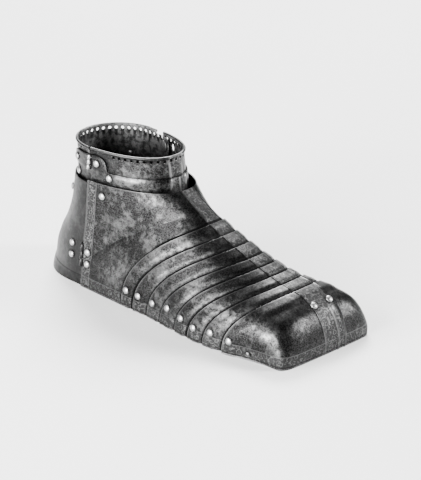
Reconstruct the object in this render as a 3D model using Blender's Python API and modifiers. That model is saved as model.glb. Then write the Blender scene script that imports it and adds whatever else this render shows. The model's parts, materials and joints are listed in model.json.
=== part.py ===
"""Sabaton: steel armour for a right foot, toe towards +X, big toe side +Y, sole on Z = 0.

Every plate is a loft over one family of rows. A row is the cut of the foot by a bent surface:
it starts on the sole at the outer side (-Y), climbs over the instep and comes down on the inner side.
"""

import math

import bmesh
import bpy
import numpy as np
from mathutils import Matrix, Vector

# Overall sizes, in metres
FOOT_LENGTH = 0.288
INSTEP_HEIGHT = 0.0950
COLLAR_HEIGHT = 0.1222
BALL_HALF_WIDTH = 0.053
TOE_SHIFT = 0.0095
TOE_SLANT = 0.072

# Steel and the play between pieces
WALL = 0.0010
GAP = 0.00035
STEP = WALL + GAP
FACET_PLAY = 0.0002
SOLE_TRIM = 0.0008
LAME_CLEAR = 0.0008

# Collar: elliptical tube of two halves that meet on the hinge line. Its heights hang from the rim.
COLLAR_INSET = 0.00437
COLLAR_FRONT = 0.0150
COLLAR_BACK = 0.1118
COLLAR_SPREAD_FRONT = 0.0055
COLLAR_ROUND = 0.90
RIM_RADIUS = 0.0016
RIM_HOLE_RADIUS = 0.00115
RIM_HOLE_DROP = 0.0050
RIM_HOLE_PITCH = 0.0062
RIM_HOLE_SIDES = 6
UPPER_LAME_EDGE = COLLAR_HEIGHT - 0.0277
LOWER_LAME_TOP = COLLAR_HEIGHT - 0.0177
LOWER_LAME_EDGE = COLLAR_HEIGHT - 0.0417
LAME_LEFT_END = 0.0175
EAR_LENGTH = 0.0185
EAR_TOP = COLLAR_HEIGHT - 0.0057
EAR_RIVET_PLACE = 0.0078
REAR_COLLAR_EDGE = COLLAR_HEIGHT - 0.0437
TONGUE_LENGTH = 0.0280
TONGUE_TOP = COLLAR_HEIGHT - 0.0027
TONGUE_EDGE = COLLAR_HEIGHT - 0.0337
TONGUE_SPRING = 0.18
SEAM = GAP + 0.0002
REAR_HOLES_TURN = 0.095
LEAF_LENGTH_TURN = 0.222

# Heel
HEEL_TOP = 0.0925
HEEL_OVERLAP = 0.0045
HEEL_OVERLAP_INNER = 0.0090
FLANGE_CUT = LOWER_LAME_EDGE - 4 * GAP

# Rivets
RIVET_HEAD = 0.0031
RIVET_DOME = 0.0017
RIVET_SHANK = 0.0014
RIVET_TAIL = 0.0021
HOLE_CLEARANCE = 0.00035
HOLE_LENGTH = 0.008
LONG_HOLE = 0.014
LAME_RIVET_HEIGHTS = (0.0158, 0.0153, 0.0148, 0.0168, 0.0144, 0.0118, 0.0135, 0.0120)
LAME_RIVET_SETBACK = 0.30
LAME_OVERLAP = 0.50
INSTEP_PIVOT_OUTER = 0.0165
INSTEP_PIVOT_INNER = LAME_LEFT_END + 0.0065
INSTEP_PIVOT_Z = 0.0850
COLLAR_PIVOT_OUTER = 0.0200
COLLAR_PIVOT_INNER = LAME_LEFT_END + 0.0185
COLLAR_PIVOT_Z = COLLAR_HEIGHT - 0.0219
TOE_TOP_ROW = 13.45
TOE_TOP_SPREAD = 0.0082
TOE_SIDE_ROW = 13.45
TOE_SIDE_HEIGHT = 0.0055
REAR_RIVET_TURN = 1.84
REAR_RIVET_LOW = COLLAR_HEIGHT - 0.0257
REAR_RIVET_HIGH = COLLAR_HEIGHT - 0.0127
HEEL_RIVET_TURN = 1.74
HEEL_RIVET_Z = 0.0785

# Hinges on the outer side
BARREL_RADIUS = 0.0016
PIN_RADIUS = 0.0007
PIN_CLEARANCE = 0.0002
FRONT_LEAF = 0.0105
REAR_LEAF = 0.0175
LEAF_RIVET_EDGE = 0.0037
FRONT_LEAF_RIVETS = (0.0216, 0.0322)
REAR_LEAF_RIVETS = (0.0243, 0.0346)
COLLAR_HINGE_LOW = COLLAR_HEIGHT - 0.0187
COLLAR_HINGE_HIGH = COLLAR_HEIGHT - 0.0062
HEEL_HINGE_LOW = 0.0185
HEEL_HINGE_HIGH = 0.0380
HEEL_BARREL_DEPTH = 0.0008
HEEL_AXIS_BACK = 0.0005
HINGE_PLAY = 0.0001
TAB_SINK = 0.0003
LEAF_GAP = 0.00085
KNUCKLES = 3

# Closing stud on the inner side
STUD_RADIUS = 0.0014
STUD_DISC_RADIUS = 0.0050
STUD_HEIGHT = COLLAR_HEIGHT - 0.0102
KEYHOLE_PLACE = 0.0305
KEYHOLE_HEIGHT = COLLAR_HEIGHT - 0.0087
KEYHOLE_RADIUS = 0.0018
KEYHOLE_SLOT = 0.0029
KEYHOLE_SIDES = 10
STUD_PLACE = LAME_LEFT_END + 0.0045
STUD_HEAD_RADIUS = 0.0024
STUD_PLAY = 0.0009

AROUND = 16
RIVET_SIDES = 7

# Rows from the top edge of the instep plate to the front of the sole. Columns: base and top along the foot
# as shares of FOOT_LENGTH from the heel, base and top height as shares of INSTEP_HEIGHT, outer and inner
# half width as shares of BALL_HALF_WIDTH, ridge shift as a share of TOE_SHIFT, slant as a share of TOE_SLANT,
# then the exponents that shape the outer and inner width, the lean and the rise of the row.
COLUMNS = ("base_x", "base_z", "outer", "inner", "top_x", "top_z", "shift", "slant",
           "wide", "wide_inner", "lean", "rise")
ROWS = np.array([
    [0.2360, 1.000, 0.690, 0.690, 0.494, 1.000, 0.00, 0.00, 0.90, 0.90, 0.95, 1.00],
    [0.2280, 0.650, 0.712, 0.718, 0.519, 0.950, 0.03, 0.00, 0.88, 0.90, 1.10, 1.00],
    [0.2140, 0.295, 0.738, 0.748, 0.541, 0.908, 0.07, 0.00, 0.85, 0.90, 1.40, 0.95],
    [0.2065, 0.000, 0.753, 0.760, 0.563, 0.866, 0.12, 0.00, 0.82, 0.91, 1.70, 0.90],
    [0.2930, 0.000, 0.785, 0.785, 0.580, 0.824, 0.18, 0.00, 0.80, 0.92, 1.90, 0.87],
    [0.3900, 0.000, 0.820, 0.815, 0.597, 0.782, 0.26, 0.00, 0.80, 0.93, 2.00, 0.87],
    [0.4380, 0.000, 0.835, 0.835, 0.643, 0.714, 0.35, 0.00, 0.80, 0.95, 2.00, 0.87],
    [0.4970, 0.000, 0.855, 0.855, 0.690, 0.652, 0.44, 0.00, 0.80, 0.97, 2.00, 0.87],
    [0.5540, 0.000, 0.895, 0.875, 0.738, 0.592, 0.53, 0.00, 0.80, 0.98, 2.00, 0.86],
    [0.6190, 0.000, 0.940, 0.890, 0.776, 0.545, 0.61, 0.05, 0.79, 0.97, 2.00, 0.85],
    [0.6730, 0.000, 0.972, 0.900, 0.817, 0.502, 0.69, 0.12, 0.78, 0.94, 1.95, 0.84],
    [0.7310, 0.000, 0.985, 0.910, 0.857, 0.470, 0.76, 0.22, 0.76, 0.88, 1.85, 0.80],
    [0.7970, 0.000, 0.955, 0.925, 0.897, 0.446, 0.83, 0.35, 0.72, 0.76, 1.65, 0.72],
    [0.8560, 0.000, 0.905, 0.940, 0.936, 0.403, 0.89, 0.50, 0.58, 0.56, 1.05, 0.52],
    [0.9000, 0.000, 0.865, 0.950, 0.968, 0.332, 0.94, 0.70, 0.43, 0.41, 0.62, 0.40],
    [0.9280, 0.000, 0.847, 0.952, 0.990, 0.215, 0.97, 0.90, 0.34, 0.33, 0.42, 0.40],
    [0.9420, 0.000, 0.840, 0.952, 0.999, 0.100, 1.00, 1.00, 0.28, 0.29, 0.32, 0.50],
    [0.9480, 0.000, 0.836, 0.950, 0.996, 0.000, 1.00, 1.00, 0.26, 0.27, 0.28, 1.00],
])
TOP_EDGE, SOLE_CORNER, FIRST_LAME, TOE_ROW, TOE_END = 0, 3, 5, 12, 17
COLLAR_HALF_WIDTH = ROWS[TOP_EDGE, COLUMNS.index("outer")] * BALL_HALF_WIDTH - COLLAR_INSET

# The back of the heel plate below the collar. Columns: height as a share of INSTEP_HEIGHT, and how far the
# back, and how far the sides, stand out past the line that carries on the collar, in metres.
HEEL_PROFILE = np.array([
    [0.000, 0.0332, 0.0035],
    [0.035, 0.0330, 0.0025],
    [0.075, 0.0320, 0.0010],
    [0.130, 0.0300, 0.0002],
    [0.210, 0.0288, 0.0000],
    [0.350, 0.0235, 0.0000],
    [0.550, 0.0122, 0.0000],
    [0.760, 0.0043, 0.0000],
    [1.000, 0.0003, 0.0000],
])


def spread(start, end, count):
    return [start + (end - start) * i / count for i in range(count + 1)]


def smooth(table, at):
    """The row of a table at a fractional index, by cubic pieces that never overshoot."""
    at = min(max(at, 0.0), len(table) - 1.0)
    low = min(int(at), len(table) - 2)
    rise = np.diff(table, axis=0)
    before, after = rise[:-1], rise[1:]
    product = before * after
    middle = np.where(product > 0, 2 * product / np.where(product > 0, before + after, 1), 0)
    slope = np.vstack([rise[:1], middle, rise[-1:]])
    u = at - low
    a, b = table[low], table[low + 1]
    return ((1 + 2 * u) * (1 - u) ** 2 * a + u * (1 - u) ** 2 * slope[low]
            + u * u * (3 - 2 * u) * b - u * u * (1 - u) * slope[low + 1])


def row(at):
    """The named lengths of one row, in metres."""
    r = dict(zip(COLUMNS, smooth(ROWS, at)))
    for name in ("base_x", "top_x"):
        r[name] = (r[name] - 0.5) * FOOT_LENGTH
    for name in ("base_z", "top_z"):
        r[name] *= INSTEP_HEIGHT
    for name in ("outer", "inner"):
        r[name] *= BALL_HALF_WIDTH
    r["shift"] *= TOE_SHIFT
    r["slant"] *= TOE_SLANT
    return r


def foot(at, turn):
    """A point of the foot's surface: row at, and turn from 0 on the outer side to 1 on the inner side."""
    r = row(at)
    s, c = math.sin(math.pi * turn), math.cos(math.pi * turn)
    s = max(s, 0.0)
    if c >= 0:
        y = r["shift"] - (r["shift"] + r["outer"]) * c ** r["wide"]
    else:
        y = r["shift"] + (r["inner"] - r["shift"]) * (-c) ** r["wide_inner"]
    x = r["base_x"] + (r["top_x"] - r["base_x"]) * s ** r["lean"] + r["slant"] * y
    z = r["base_z"] + (r["top_z"] - r["base_z"]) * s ** r["rise"]
    return np.array([x, y, z])


def foot_normal(at, turn):
    """The outward unit normal of the foot's surface."""
    da, dt = 0.02, 0.002
    along = foot(min(at + da, TOE_END), turn) - foot(max(at - da, 0), turn)
    across = foot(at, min(turn + dt, 1.0)) - foot(at, max(turn - dt, 0.0))
    normal = np.cross(along, across)
    return normal / np.linalg.norm(normal)


def turn_at_height(at, height):
    """The turn where a row passes a height on the outer side."""
    r = row(at)
    share = (height - r["base_z"]) / (r["top_z"] - r["base_z"])
    return math.asin(share ** (1 / r["rise"])) / math.pi


def hinge_line(z):
    """Where the front and rear halves meet, along the foot, and the outer surface's half width there."""
    heights = [row(at)["base_z"] for at in range(SOLE_CORNER + 1)]
    at = float(np.interp(z, heights[::-1], list(range(SOLE_CORNER + 1))[::-1]))
    r = row(at)
    return r["base_x"], r["outer"], r["inner"]


def collar(z, turn, depth=0.0):
    """A point of the collar's inner surface at a height: turn 0 to 1 round the front, 1 to 2 round the back."""
    line = hinge_line(INSTEP_HEIGHT)[0]
    drop = max(COLLAR_HEIGHT - z, 0.0) / (COLLAR_HEIGHT - LOWER_LAME_EDGE)
    front = -COLLAR_FRONT + COLLAR_SPREAD_FRONT * drop
    s, c = math.sin(math.pi * turn), math.cos(math.pi * turn)
    reach = front - line if s >= 0 else line + COLLAR_BACK
    power = COLLAR_ROUND if s >= 0 else 1.0
    x = line + reach * math.copysign(abs(s) ** power, s)
    y = -COLLAR_HALF_WIDTH * math.copysign(abs(c) ** power, c)
    return np.array([x, y, z])


def collar_normal(z, turn):
    step = 0.004
    along = collar(z, turn + step) - collar(z, turn - step)
    normal = np.cross(along, (0, 0, 1))
    return normal / np.linalg.norm(normal)


def collar_turn(x, side=1):
    """The turn at a place along the front half of the collar, on the inner side (1) or the outer (-1)."""
    line = hinge_line(INSTEP_HEIGHT)[0]
    share = (x - line) / (-COLLAR_FRONT - line)
    turn = math.asin(min(max(share, 0.0), 1.0) ** (1 / COLLAR_ROUND)) / math.pi
    return 1 - turn if side > 0 else turn


def heel_back(z):
    """How far back the heel plate's inner surface goes at a height, and how far its sides bulge."""
    heights = HEEL_PROFILE[:, 0] * INSTEP_HEIGHT
    at = float(np.interp(z, heights, range(len(heights))))
    _, back_out, side_out = smooth(HEEL_PROFILE, at)
    return -COLLAR_BACK - back_out - WALL, side_out


def heel(z, turn):
    """A point of the heel plate's inner surface: turn 1 on the inner side, 1.5 at the back, 2 outside."""
    back, side_out = heel_back(z)
    line, outer, inner = hinge_line(z)
    s, c = math.sin(math.pi * turn), math.cos(math.pi * turn)
    side = inner if c < 0 else outer
    x = line + (line - back) * s
    bulge = side_out * math.sin(2 * math.pi * turn) ** 2
    y = -(side - STEP + bulge) * c
    return np.array([x, y, z])


def material(name, colour, roughness, metallic=1.0):
    made = bpy.data.materials.new(name)
    made.use_nodes = True
    shader = made.node_tree.nodes["Principled BSDF"]
    shader.inputs["Base Color"].default_value = (*colour, 1.0)
    shader.inputs["Roughness"].default_value = roughness
    shader.inputs["Metallic"].default_value = metallic
    return made


def add_object(name, mesh, finish, group=None):
    made = bpy.data.objects.new(name, mesh)
    (group or PARTS).objects.link(made)
    if finish:
        mesh.materials.append(finish)
        mesh.shade_smooth()
        mesh.set_sharp_from_angle(angle=math.radians(40))
    return made


def grid_mesh(name, grid):
    """An open sheet through a grid of points."""
    mesh = bmesh.new()
    rows = [[mesh.verts.new(point) for point in line] for line in grid]
    for low, high in zip(rows, rows[1:]):
        for i in range(len(low) - 1):
            mesh.faces.new((low[i], high[i], high[i + 1], low[i + 1]))
    made = bpy.data.meshes.new(name)
    mesh.to_mesh(made)
    mesh.free()
    return made


def add_sweep(mesh, stations):
    """Adds a closed solid through closed outlines of as many points each, with flat ends."""
    rings = [[mesh.verts.new(point) for point in outline] for outline in stations]
    faces = [mesh.faces.new(rings[0][::-1]), mesh.faces.new(rings[-1])]
    for low, high in zip(rings, rings[1:]):
        for i in range(len(low)):
            j = (i + 1) % len(low)
            faces.append(mesh.faces.new((low[i], low[j], high[j], high[i])))
    bmesh.ops.recalc_face_normals(mesh, faces=faces)


def sweep_mesh(name, stations):
    mesh = bmesh.new()
    add_sweep(mesh, stations)
    made = bpy.data.meshes.new(name)
    mesh.to_mesh(made)
    mesh.free()
    return made


def frame_at(point, normal, upright=(0, 0, 1)):
    """A matrix whose Z axis is the normal and whose X axis is as upright as it can be."""
    z = Vector(normal).normalized()
    y = z.cross(Vector(upright)).normalized()
    x = y.cross(z)
    turn = Matrix((x, y, z)).transposed().to_4x4()
    return Matrix.Translation(Vector(point)) @ turn


def cut(plate, shapes):
    """Cuts cylinders and boxes from a plate: each is a kind, a matrix, its sizes and its number of sides."""
    for kind in ("round", "box"):
        chosen = [shape for shape in shapes if shape[0] == kind]
        if chosen:
            cut_one_kind(plate, kind, chosen)


def cut_one_kind(plate, kind, shapes):
    mesh = bmesh.new()
    for _, place, size, sides in shapes:
        if kind == "round":
            bmesh.ops.create_cone(mesh, cap_ends=True, segments=sides, radius1=size[0], radius2=size[0],
                                  depth=size[1], matrix=place)
        else:
            made = bmesh.ops.create_cube(mesh, size=1.0)
            scale = Matrix.Diagonal((*size, 1.0))
            bmesh.ops.transform(mesh, matrix=place @ scale, verts=made["verts"])
    made = bpy.data.meshes.new(f"{plate.name}_{kind}_cutter")
    mesh.to_mesh(made)
    mesh.free()
    cutter = add_object(made.name, made, None, CUTTERS)
    cutter.hide_render = True
    cutter.display_type = "WIRE"
    boolean = plate.modifiers.new(f"{kind}_holes", "BOOLEAN")
    boolean.operation = "DIFFERENCE"
    boolean.object = cutter


def hole(point, normal, radius=RIVET_SHANK + HOLE_CLEARANCE, sides=RIVET_SIDES, length=HOLE_LENGTH):
    return ("round", frame_at(point, normal), (radius, length), sides)


def solidify(plate):
    thick = plate.modifiers.new("wall", "SOLIDIFY")
    thick.thickness = WALL
    thick.offset = 1.0
    thick.use_even_offset = False


def foot_turns():
    """The turns of a plate's stations, closer together towards the sole on either side."""
    return [0.5 * share + 0.25 * (1 - math.cos(math.pi * share)) for share in spread(0.0, 1.0, AROUND)]


def floor_cut(height):
    """A box that trims a plate level at a height over the floor."""
    depth = 4 * WALL
    return ("box", Matrix.Translation((0, 0, height - depth / 2)), (2 * FOOT_LENGTH, FOOT_LENGTH, depth), 4)


def foot_plate(name, rows, lift, finish, holes, clear=0.0):
    """A plate of the foot's surface, lifted off it by lift(row), its wall outside and its sole edge level."""
    grid = []
    for at in rows:
        line = []
        for turn in foot_turns():
            line.append(foot(at, turn) + foot_normal(at, turn) * lift(at))
        if at >= SOLE_CORNER:
            line[0][2] = line[-1][2] = -SOLE_TRIM
        grid.append(line)
    plate = add_object(name, grid_mesh(name, grid), finish)
    solidify(plate)
    cut(plate, [*holes, floor_cut(clear)])
    return plate


def turned_piece(name, outline, place):
    """A solid turned from a half outline of radius and height."""
    mesh = bpy.data.meshes.new(name)
    mesh.from_pydata([(x, 0, z) for x, z in outline], [(i, i + 1) for i in range(len(outline) - 1)], [])
    made = bpy.data.objects.new(name, mesh)
    PARTS.objects.link(made)
    mesh.materials.append(RIVET_STEEL)
    turned = made.modifiers.new("turned", "SCREW")
    turned.steps = RIVET_SIDES
    turned.render_steps = RIVET_SIDES
    turned.use_merge_vertices = True
    turned.merge_threshold = 1e-5
    turned.use_smooth_shade = True
    made.matrix_world = place


def rivet(name, point, normal, grip, head=RIVET_HEAD):
    """A domed rivet: its head lies on the outer face at point, and it is closed over inside."""
    outline = [
        (0.0, RIVET_DOME + GAP),
        (head * 0.62, RIVET_DOME * 0.78 + GAP),
        (head, GAP),
        (RIVET_SHANK, GAP),
        (RIVET_SHANK, -grip - GAP),
        (RIVET_TAIL, -grip - GAP),
        (0.0, -grip - GAP - WALL),
    ]
    turned_piece(name, outline, frame_at(point, normal))


for old in list(bpy.data.objects):
    bpy.data.objects.remove(old)
PARTS = bpy.data.collections.new("sabaton")
CUTTERS = bpy.data.collections.new("cutters")
bpy.context.scene.collection.children.link(PARTS)
bpy.context.scene.collection.children.link(CUTTERS)
STEEL = material("dark_steel", (0.10, 0.10, 0.10), 0.35)
RIVET_STEEL = material("rivet_steel", (0.45, 0.45, 0.45), 0.35)

# Joint axes: the side rivets of each lame, and the hinge line outside both outer hinges


def side_rivet_row(at):
    return at + LAME_RIVET_SETBACK


def side_rivet_turn(at, side):
    turn = turn_at_height(side_rivet_row(at), LAME_RIVET_HEIGHTS[at - FIRST_LAME])
    return turn if side < 0 else 1 - turn


def hinge_axis():
    """A low and a high point of the axis through both outer hinges."""
    low = (HEEL_HINGE_LOW + HEEL_HINGE_HIGH) / 2
    high = (COLLAR_HINGE_LOW + COLLAR_HINGE_HIGH) / 2
    line, outer, _ = hinge_line(low)
    clear = COLLAR_HALF_WIDTH + WALL + GAP + BARREL_RADIUS + HINGE_PLAY
    return (Vector((line - HEEL_AXIS_BACK, -outer - HEEL_BARREL_DEPTH, low)),
            Vector((hinge_line(high)[0], -clear, high)))


AXIS_LOW, AXIS_HIGH = hinge_axis()
AXIS = (AXIS_HIGH - AXIS_LOW).normalized()


def on_axis(z):
    return AXIS_LOW + AXIS * ((z - AXIS_LOW.z) / AXIS.z)


def axis_frame(z):
    """A frame on the hinge axis: X forwards, Y inwards, Z up the axis."""
    x = Vector((1, 0, 0))
    y = AXIS.cross(x).normalized()
    x = y.cross(AXIS)
    return Matrix.Translation(on_axis(z)) @ Matrix((x, y, AXIS)).transposed().to_4x4()


def knuckle_spans(low, high):
    """The spans of the knuckles of one hinge, from the bottom up."""
    each = (high - low) / KNUCKLES
    return [(low + i * each + GAP / 2, low + (i + 1) * each - GAP / 2) for i in range(KNUCKLES)]


def barrel(mesh, low, high):
    bmesh.ops.create_cone(mesh, cap_ends=True, segments=RIVET_SIDES, radius1=BARREL_RADIUS,
                          radius2=BARREL_RADIUS, depth=high - low, matrix=axis_frame((low + high) / 2))


def slab(mesh, z, size, shift):
    """A box beside the axis: its size and its middle in the frame of the axis."""
    place = axis_frame(z) @ Matrix.Translation(shift) @ Matrix.Diagonal((*size, 1.0))
    made = bmesh.ops.create_cube(mesh, size=1.0)
    bmesh.ops.transform(mesh, matrix=place, verts=made["verts"])


def bmesh_object(name, fill, finish, group=None):
    mesh = bmesh.new()
    fill(mesh)
    made = bpy.data.meshes.new(name)
    mesh.to_mesh(made)
    mesh.free()
    return add_object(name, made, finish, group)


def union(base, fill, name):
    """Joins shapes to a piece by a Boolean."""
    tool = bmesh_object(name, fill, None, CUTTERS)
    tool.hide_render = True
    tool.display_type = "WIRE"
    joined = base.modifiers.new("joined", "BOOLEAN")
    joined.operation = "UNION"
    joined.object = tool


def pin_bore(low, high):
    size = (PIN_RADIUS + PIN_CLEARANCE, high - low + 4 * WALL)
    return ("round", axis_frame((low + high) / 2), size, RIVET_SIDES)


def knuckle_notch(low, high, side):
    """A box cut from a leaf, before the axis (1) or behind it (-1), round the other leaf's knuckle."""
    reach = BARREL_RADIUS + GAP
    place = axis_frame((low + high) / 2) @ Matrix.Translation((side * (reach - 2 * GAP) / 2, 0, 0))
    return ("box", place, (reach + 2 * GAP, 4 * BARREL_RADIUS, high - low + 2 * GAP), 4)


# The foot: instep plate, seven lames and the toe cap


def lame_lift(rear):
    """A lame stands off the one behind by a step along its overlap, and comes down to it before the next."""
    def lift(at):
        share = (at - rear - LAME_OVERLAP) / (1 - LAME_OVERLAP)
        return STEP * (1 - min(max(share, 0.0), 1.0))
    return lift


def instep_lift(at):
    return 0.0


def rivet_hole(at, side):
    rivet_row, turn = side_rivet_row(at), side_rivet_turn(at, side)
    return hole(foot(rivet_row, turn), foot_normal(rivet_row, turn))


def side_holes(at):
    return [rivet_hole(at, side) for side in (-1, 1)]


def hinge_notch(forward, back, spare=GAP):
    """A box cut round the heel hinge's knuckles."""
    height = HEEL_HINGE_HIGH - HEEL_HINGE_LOW + 2 * spare
    middle = (HEEL_HINGE_LOW + HEEL_HINGE_HIGH) / 2
    place = axis_frame(middle) @ Matrix.Translation(((forward - back) / 2, 0, 0))
    return ("box", place, (forward + back, 12 * WALL, height), 4)


def seat_on_instep(x, z, side):
    """The instep plate's inner face at a place along the foot and a height: point and normal."""
    at, turn, span, count = 1.7, 0.2, (1.7, 0.2), 25
    while span[0] > 1e-4:
        near = [(a, t) for a in np.linspace(max(at - span[0], 0), at + span[0], count)
                for t in np.linspace(max(turn - span[1], 0), turn + span[1], count)]
        at, turn = min(near, key=lambda place: np.hypot(*(foot(*place)[[0, 2]] - (x, z))))
        span, count = (span[0] / 2, span[1] / 2), 7
    turn = turn if side < 0 else 1 - turn
    return foot(at, turn), foot_normal(at, turn)


def level_seat(x, z):
    """A seat on the instep plate's outer side whose normal is that of the area under a rivet's head."""
    point = seat_on_instep(x, z, -1)[0]
    ends = [seat_on_instep(x + a * RIVET_HEAD, z + b * RIVET_HEAD, -1)[0]
            for a, b in ((-1, 0), (1, 0), (0, -1), (0, 1))]
    normal = np.cross(ends[1] - ends[0], ends[3] - ends[2])
    normal = normal / np.linalg.norm(normal)
    return point, normal if normal[1] < 0 else -normal


LINE = hinge_line(INSTEP_HEIGHT)[0]
pivots = {}
for side, word, along in ((-1, "outer", INSTEP_PIVOT_OUTER), (1, "inner", INSTEP_PIVOT_INNER)):
    pivots[word] = seat_on_instep(LINE + along, INSTEP_PIVOT_Z, side)

instep_rows = [TOP_EDGE, 0.5, 1, 2, 2.6, SOLE_CORNER, 3.5, 4, FIRST_LAME, FIRST_LAME + LAME_OVERLAP]
instep_holes = side_holes(FIRST_LAME) + [hole(*pivots[word], length=LONG_HOLE) for word in pivots]
front_leaf = [level_seat(on_axis(z).x + FRONT_LEAF - LEAF_RIVET_EDGE, z) for z in FRONT_LEAF_RIVETS]
instep_holes += [hole(*seat) for seat in front_leaf]
instep_holes.append(hinge_notch(BARREL_RADIUS + GAP, HEEL_OVERLAP))
foot_plate("instep_plate", instep_rows, instep_lift, STEEL, instep_holes)

for number in range(1, TOE_ROW - FIRST_LAME + 1):
    rear = FIRST_LAME + number - 1
    rows = [rear, rear + LAME_OVERLAP, rear + 1, rear + 1 + LAME_OVERLAP]
    foot_plate(f"lame_{number}", rows, lame_lift(rear), STEEL, side_holes(rear) + side_holes(rear + 1),
               clear=LAME_CLEAR)


def toe_top_seat(side):
    r = row(TOE_TOP_ROW)
    half = r["outer"] + r["shift"] if side < 0 else r["inner"] - r["shift"]
    turn = math.acos((TOE_TOP_SPREAD / half) ** (1 / r["wide"])) / math.pi
    turn = turn if side < 0 else 1 - turn
    return foot(TOE_TOP_ROW, turn), foot_normal(TOE_TOP_ROW, turn)


def toe_side_seat(side):
    turn = turn_at_height(TOE_SIDE_ROW, TOE_SIDE_HEIGHT)
    turn = turn if side < 0 else 1 - turn
    return foot(TOE_SIDE_ROW, turn), foot_normal(TOE_SIDE_ROW, turn)


toe_rows = [TOE_ROW, TOE_ROW + LAME_OVERLAP, 13, 14, 15, 16, TOE_END]
toe_seats = {("top", side): toe_top_seat(side) for side in (-1, 1)}
toe_seats.update({("side", side): toe_side_seat(side) for side in (-1, 1)})
foot_plate("toe_cap", toe_rows, lame_lift(TOE_ROW), STEEL,
           side_holes(TOE_ROW) + [hole(*seat) for seat in toe_seats.values()])

for number in range(1, TOE_ROW - FIRST_LAME + 2):
    at = FIRST_LAME + number - 1
    for side, word in ((-1, "outer"), (1, "inner")):
        rivet_row, turn = side_rivet_row(at), side_rivet_turn(at, side)
        normal = foot_normal(rivet_row, turn)
        point = foot(rivet_row, turn) + normal * (STEP + WALL)
        rivet(f"side_rivet_{number}_{word}", point, normal, STEP + WALL + FACET_PLAY)
for (place, side), (point, normal) in toe_seats.items():
    word = "outer" if side < 0 else "inner"
    lift = lame_lift(TOE_ROW)(TOE_SIDE_ROW)
    rivet(f"toe_{place}_rivet_{word}", point + normal * (WALL + lift), normal, WALL + 3 * FACET_PLAY,
          RIVET_HEAD * (1.0 if place == "top" else 0.7))

# The collar


def collar_outline(turn, low, top, inset=0.0, bead=1.0):
    """The closed outline of a collar wall with a rolled rim, at one turn."""
    rim = RIM_RADIUS
    profile = [(0, low), (0, top - 0.6 * rim), (0.55 * rim * bead, top), (max(1.5 * rim * bead, WALL), top),
               (WALL + (2.0 * rim - WALL) * bead, top - 0.7 * rim),
               (WALL + (1.8 * rim - WALL) * bead, top - 1.6 * rim), (WALL, top - 2.0 * rim), (WALL, low)]
    normal = collar_normal(top, turn)
    return [collar(z, turn) + normal * (out - inset) for out, z in profile]


def even_turns(start, end, z, pitch):
    """Turns a pitch apart along the collar, centred between two turns."""
    turns = np.linspace(start, end, 400)
    points = np.array([collar(z, turn) for turn in turns])
    length = np.concatenate([[0], np.cumsum(np.linalg.norm(np.diff(points, axis=0), axis=1))])
    count = int(length[-1] / pitch)
    places = (length[-1] - (count - 1) * pitch) / 2 + pitch * np.arange(count)
    return np.interp(places, length, turns)


def rim_holes(start, end):
    z = COLLAR_HEIGHT - RIM_HOLE_DROP
    return [hole(collar(z, turn), collar_normal(z, turn), RIM_HOLE_RADIUS, RIM_HOLE_SIDES)
            for turn in even_turns(start, end, z, RIM_HOLE_PITCH)]


left_end = collar_turn(LINE + LAME_LEFT_END)
ear_end = collar_turn(LINE + EAR_LENGTH, -1)

lame_pivots = {}
for side, word, along in ((-1, "outer", COLLAR_PIVOT_OUTER), (1, "inner", COLLAR_PIVOT_INNER)):
    turn = collar_turn(LINE + along, side)
    lame_pivots[word] = (collar(COLLAR_PIVOT_Z, turn), collar_normal(COLLAR_PIVOT_Z, turn))
ear_turn = collar_turn(LINE + EAR_RIVET_PLACE, -1)
ear_height = (COLLAR_HINGE_LOW + EAR_TOP) / 2
ear_seat = (collar(ear_height, ear_turn), collar_normal(ear_height, ear_turn))


def keyhole():
    """The drop-shaped hole in the upper lame beside the closing stud: a round end below a slot."""
    turn = collar_turn(LINE + KEYHOLE_PLACE)
    low = collar(KEYHOLE_HEIGHT - KEYHOLE_RADIUS, turn)
    high = collar(KEYHOLE_HEIGHT + KEYHOLE_SLOT, turn)
    normal = collar_normal(KEYHOLE_HEIGHT, turn)
    frame = frame_at((low + high) / 2, normal)
    return [hole(low, normal, KEYHOLE_RADIUS, KEYHOLE_SIDES),
            ("box", frame, (high[2] - low[2] + KEYHOLE_RADIUS, 1.2 * KEYHOLE_RADIUS, HOLE_LENGTH), 4)]


ear_stations = [collar_turn(LINE + SEAM + (EAR_LENGTH - SEAM) * share, -1)
                for share in (0.0, 0.25, 0.5, 0.7, 0.84, 0.93, 0.98)]
front_stations = spread(ear_end, left_end, AROUND)
upper = add_object("collar_upper", sweep_mesh("collar_upper", [
    collar_outline(turn, UPPER_LAME_EDGE, COLLAR_HEIGHT) for turn in ear_stations[:4] + front_stations]), STEEL)


def lower_top(x):
    """The lower collar lame's top edge: level, and raised into a rounded ear beside the hinge."""
    share = (x - LINE) / EAR_LENGTH
    if share >= 1:
        return LOWER_LAME_TOP
    return LOWER_LAME_TOP + (EAR_TOP - LOWER_LAME_TOP) * min(1.0, (1 - share ** 5) ** 0.4)


def wall_outline(turn, low, top, lift):
    normal = collar_normal(top, turn)
    return [collar(z, turn) + normal * out for out, z in
            ((lift, low), (lift, top), (lift + WALL, top), (lift + WALL, low))]


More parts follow.
